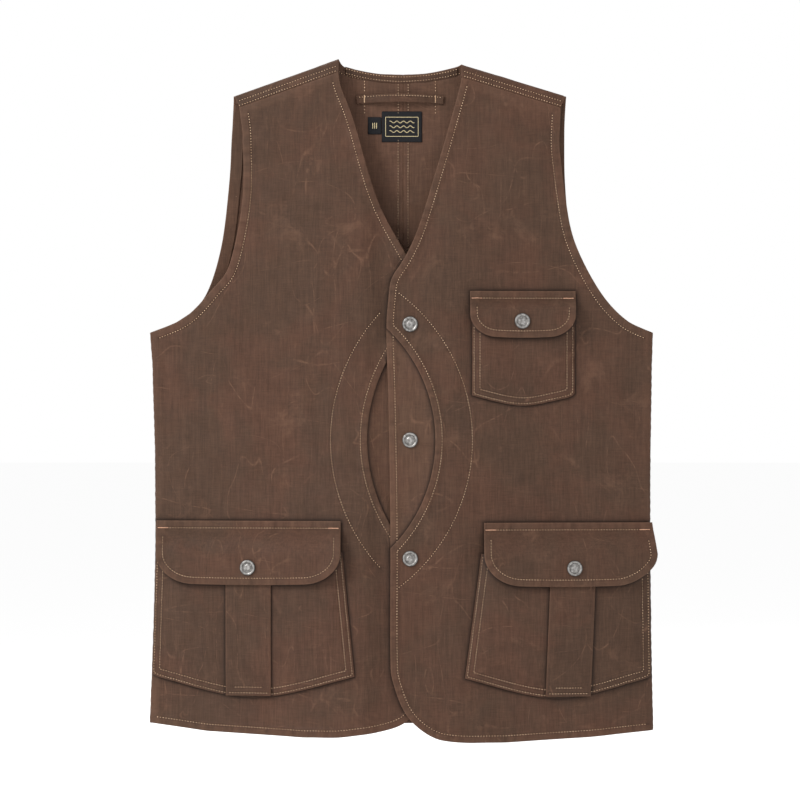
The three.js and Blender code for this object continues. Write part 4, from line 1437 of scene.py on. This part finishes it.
def add_cap(snap, body, face):
    verts, faces = revolve(CAP)
    dirt_and_shade = [cap_dirt_and_shade(verts)]
    bead, bead_faces = revolve(BEAD, 8)
    bead[:, 0] *= 1.5
    x, z = bead[:, 0] + BEAD_RING, bead[:, 2]
    parts = [verts]
    for k in range(BEADS):
        turn = 2 * math.pi * k / BEADS
        c, s = math.cos(turn), math.sin(turn)
        base = len(verts) + k * len(bead)
        parts.append(np.stack([x * c - z * s, bead[:, 1], x * s + z * c], axis=1))
        dirt_and_shade.append(np.full(len(bead), 0.05))
        faces.extend(tuple(base + i for i in f) for f in bead_faces)
    add_metal(f"{snap}_cap", body, np.concatenate(parts), faces, face, np.clip(np.concatenate(dirt_and_shade), 0, 1))


def add_ring(name, body, face, start, profile):
    """A turned piece whose heights are counted from start."""
    verts, faces = revolve([(radius, start + height) for radius, height in profile], 40)
    add_metal(name, body, verts, faces, face, np.full(len(verts), 0.12))


SNAP_GAP = 0.35
SOCKET = [(0, 0.55), (2.3, 0.55), (2.4, 0.9), (3.5, 0.95), (3.6, 1.5), (3.8, 1.9), (4.6, 2.0), (6.0, 1.9),
          (6.6, 1.3), (7.0, 0.5), (7.0, 0), (0, 0)]
STUD = [(0, 0), (2.3, 0), (2.8, 0.2), (2.95, 0.55), (2.6, 0.9)]
STUD_RISE = 1.1
POST = [(2, 0), (6.2, 0), (6.4, 0.3), (5.8, 0.8), (4.2, 1.0), (2.0, 0.85), (0, 0.8)]


def add_snap(snap, upper_body, lower_body, face, upper, lower, space=SNAP_SPACE):
    top = upper + SNAP_GAP
    under = upper + space
    base = under + lower + SNAP_GAP
    stud_top = top + STUD_RISE
    stud_foot = under - SNAP_GAP - stud_top
    add_cap(snap, upper_body, face)
    add_ring(f"{snap}_socket", upper_body, face, top, SOCKET)
    add_ring(f"{snap}_stud", lower_body, face, stud_top, [*STUD, (3.1, stud_foot), (0, stud_foot)])
    add_ring(f"{snap}_post", lower_body, face, base, [(0, under - base), (2, under - base), *POST])


# ---------------------------------------------------------------- assembly

for side in SIDES:
    add_front(side)
    add_crescent(side)
    add_shoulder(side)
backs = {side: add_back(side) for side in SIDES}
add_felled_seam("centre_back_seam", "centre_back_felled")
for side in SIDES:
    add_felled_seam(f"{side}_side_seam", f"{side}_side_felled")
    add_side_allowance(side)
    add_shoulder_allowance(side)
    add_facing(f"{side}_armhole_facing_front", f"{side}_armhole_front_cloth", front_face, -1)
    add_facing(f"{side}_armhole_facing_back", f"{side}_armhole_back_cloth", back_face, 1)
add_neck_binding()
add_hanger_loop()
add_tack_lines(backs)
label_low, label_high = span("neck_label")
label_left = label_high[0] - LABEL_WIDTH
label_corners = ((label_left, label_low[2]), (label_high[0], label_high[2]))
tab_corners = ((label_low[0], TAB_TOP - TAB_HEIGHT), (label_left - 0.3, TAB_TOP))
add_label("neck_label_cloth", *label_corners, ["neck_label"], label_motif)
add_label("size_tab_cloth", *tab_corners, [], tab_motif)
for pocket in POCKETS:
    add_pocket(pocket)

layer = CLOTH + CLEARANCE
for snap in ("upper_snap", "lower_snap"):
    add_snap(snap, "left_front", "right_front", front_face, layer + CLOTH, layer + CLOTH)
add_snap("middle_snap", "left_front", "right_front", crescent_face("left"), CLOTH, CLOTH, SNAP_SPACE + layer)
for pocket in POCKETS:
    lower = CLOTH + raised_by(pocket)
    add_snap(f"{pocket}_snap", f"{pocket}_pocket_flap", "vest", flap_face(pocket), FLAP_LAYERS, lower)


# ---------------------------------------------------------------- stage, light, camera

def add_stage():
    floor_z, reach, corners = -0.80, 30.0, 64
    turns = [2 * math.pi * k / corners for k in range(corners)]
    mesh = bpy.data.meshes.new("stage")
    points = [(reach * math.cos(t), reach * math.sin(t), floor_z) for t in turns]
    mesh.from_pydata(points, [], [range(corners)])
    stage = bpy.data.objects.new("stage", mesh)
    bpy.context.scene.collection.objects.link(stage)
    white = Nodes("stage_white")
    white.shader.inputs["Specular IOR Level"].default_value = 0.0
    mesh.materials.append(white.surface(Base_Color=(0.97, 0.97, 0.97, 1), Roughness=1.0))


def add_area(name, place, aim, size, power):
    light = bpy.data.lights.new(name, "AREA")
    light.shape = "SQUARE"
    light.size = size
    light.energy = power
    obj = bpy.data.objects.new(name, light)
    obj.location = place
    obj.rotation_euler = (Vector(aim) - Vector(place)).to_track_quat("-Z", "Y").to_euler()
    obj.visible_camera = False
    bpy.context.scene.collection.objects.link(obj)


def add_world(strength):
    world = bpy.data.worlds.new("world")
    bpy.context.scene.world = world
    world.use_nodes = True
    background = world.node_tree.nodes["Background"]
    background.inputs["Color"].default_value = (1, 1, 1, 1)
    background.inputs["Strength"].default_value = strength


def add_camera():
    """A long lens square to the front; the view is 830 mm wide at the middle of the vest's depth."""
    width, middle, height = 0.83, -0.022, -0.314
    lens, sensor = 200, 36
    camera = bpy.data.cameras.new("camera")
    camera.lens = lens
    camera.sensor_width = sensor
    obj = bpy.data.objects.new("camera", camera)
    obj.location = (0, middle - width * lens / sensor, height)
    obj.rotation_euler = (math.pi / 2, 0, 0)
    bpy.context.scene.collection.objects.link(obj)
    bpy.context.scene.camera = obj


add_stage()
add_world(1.0)
add_area("key", (-2.0, -2.0, 1.3), (0, 0, -0.3), 0.9, 60)
add_area("rim", (-1.6, 2.2, 1.2), (0, 0, -0.3), 0.9, 40)
add_camera()
bpy.context.scene.view_settings.view_transform = "Standard"
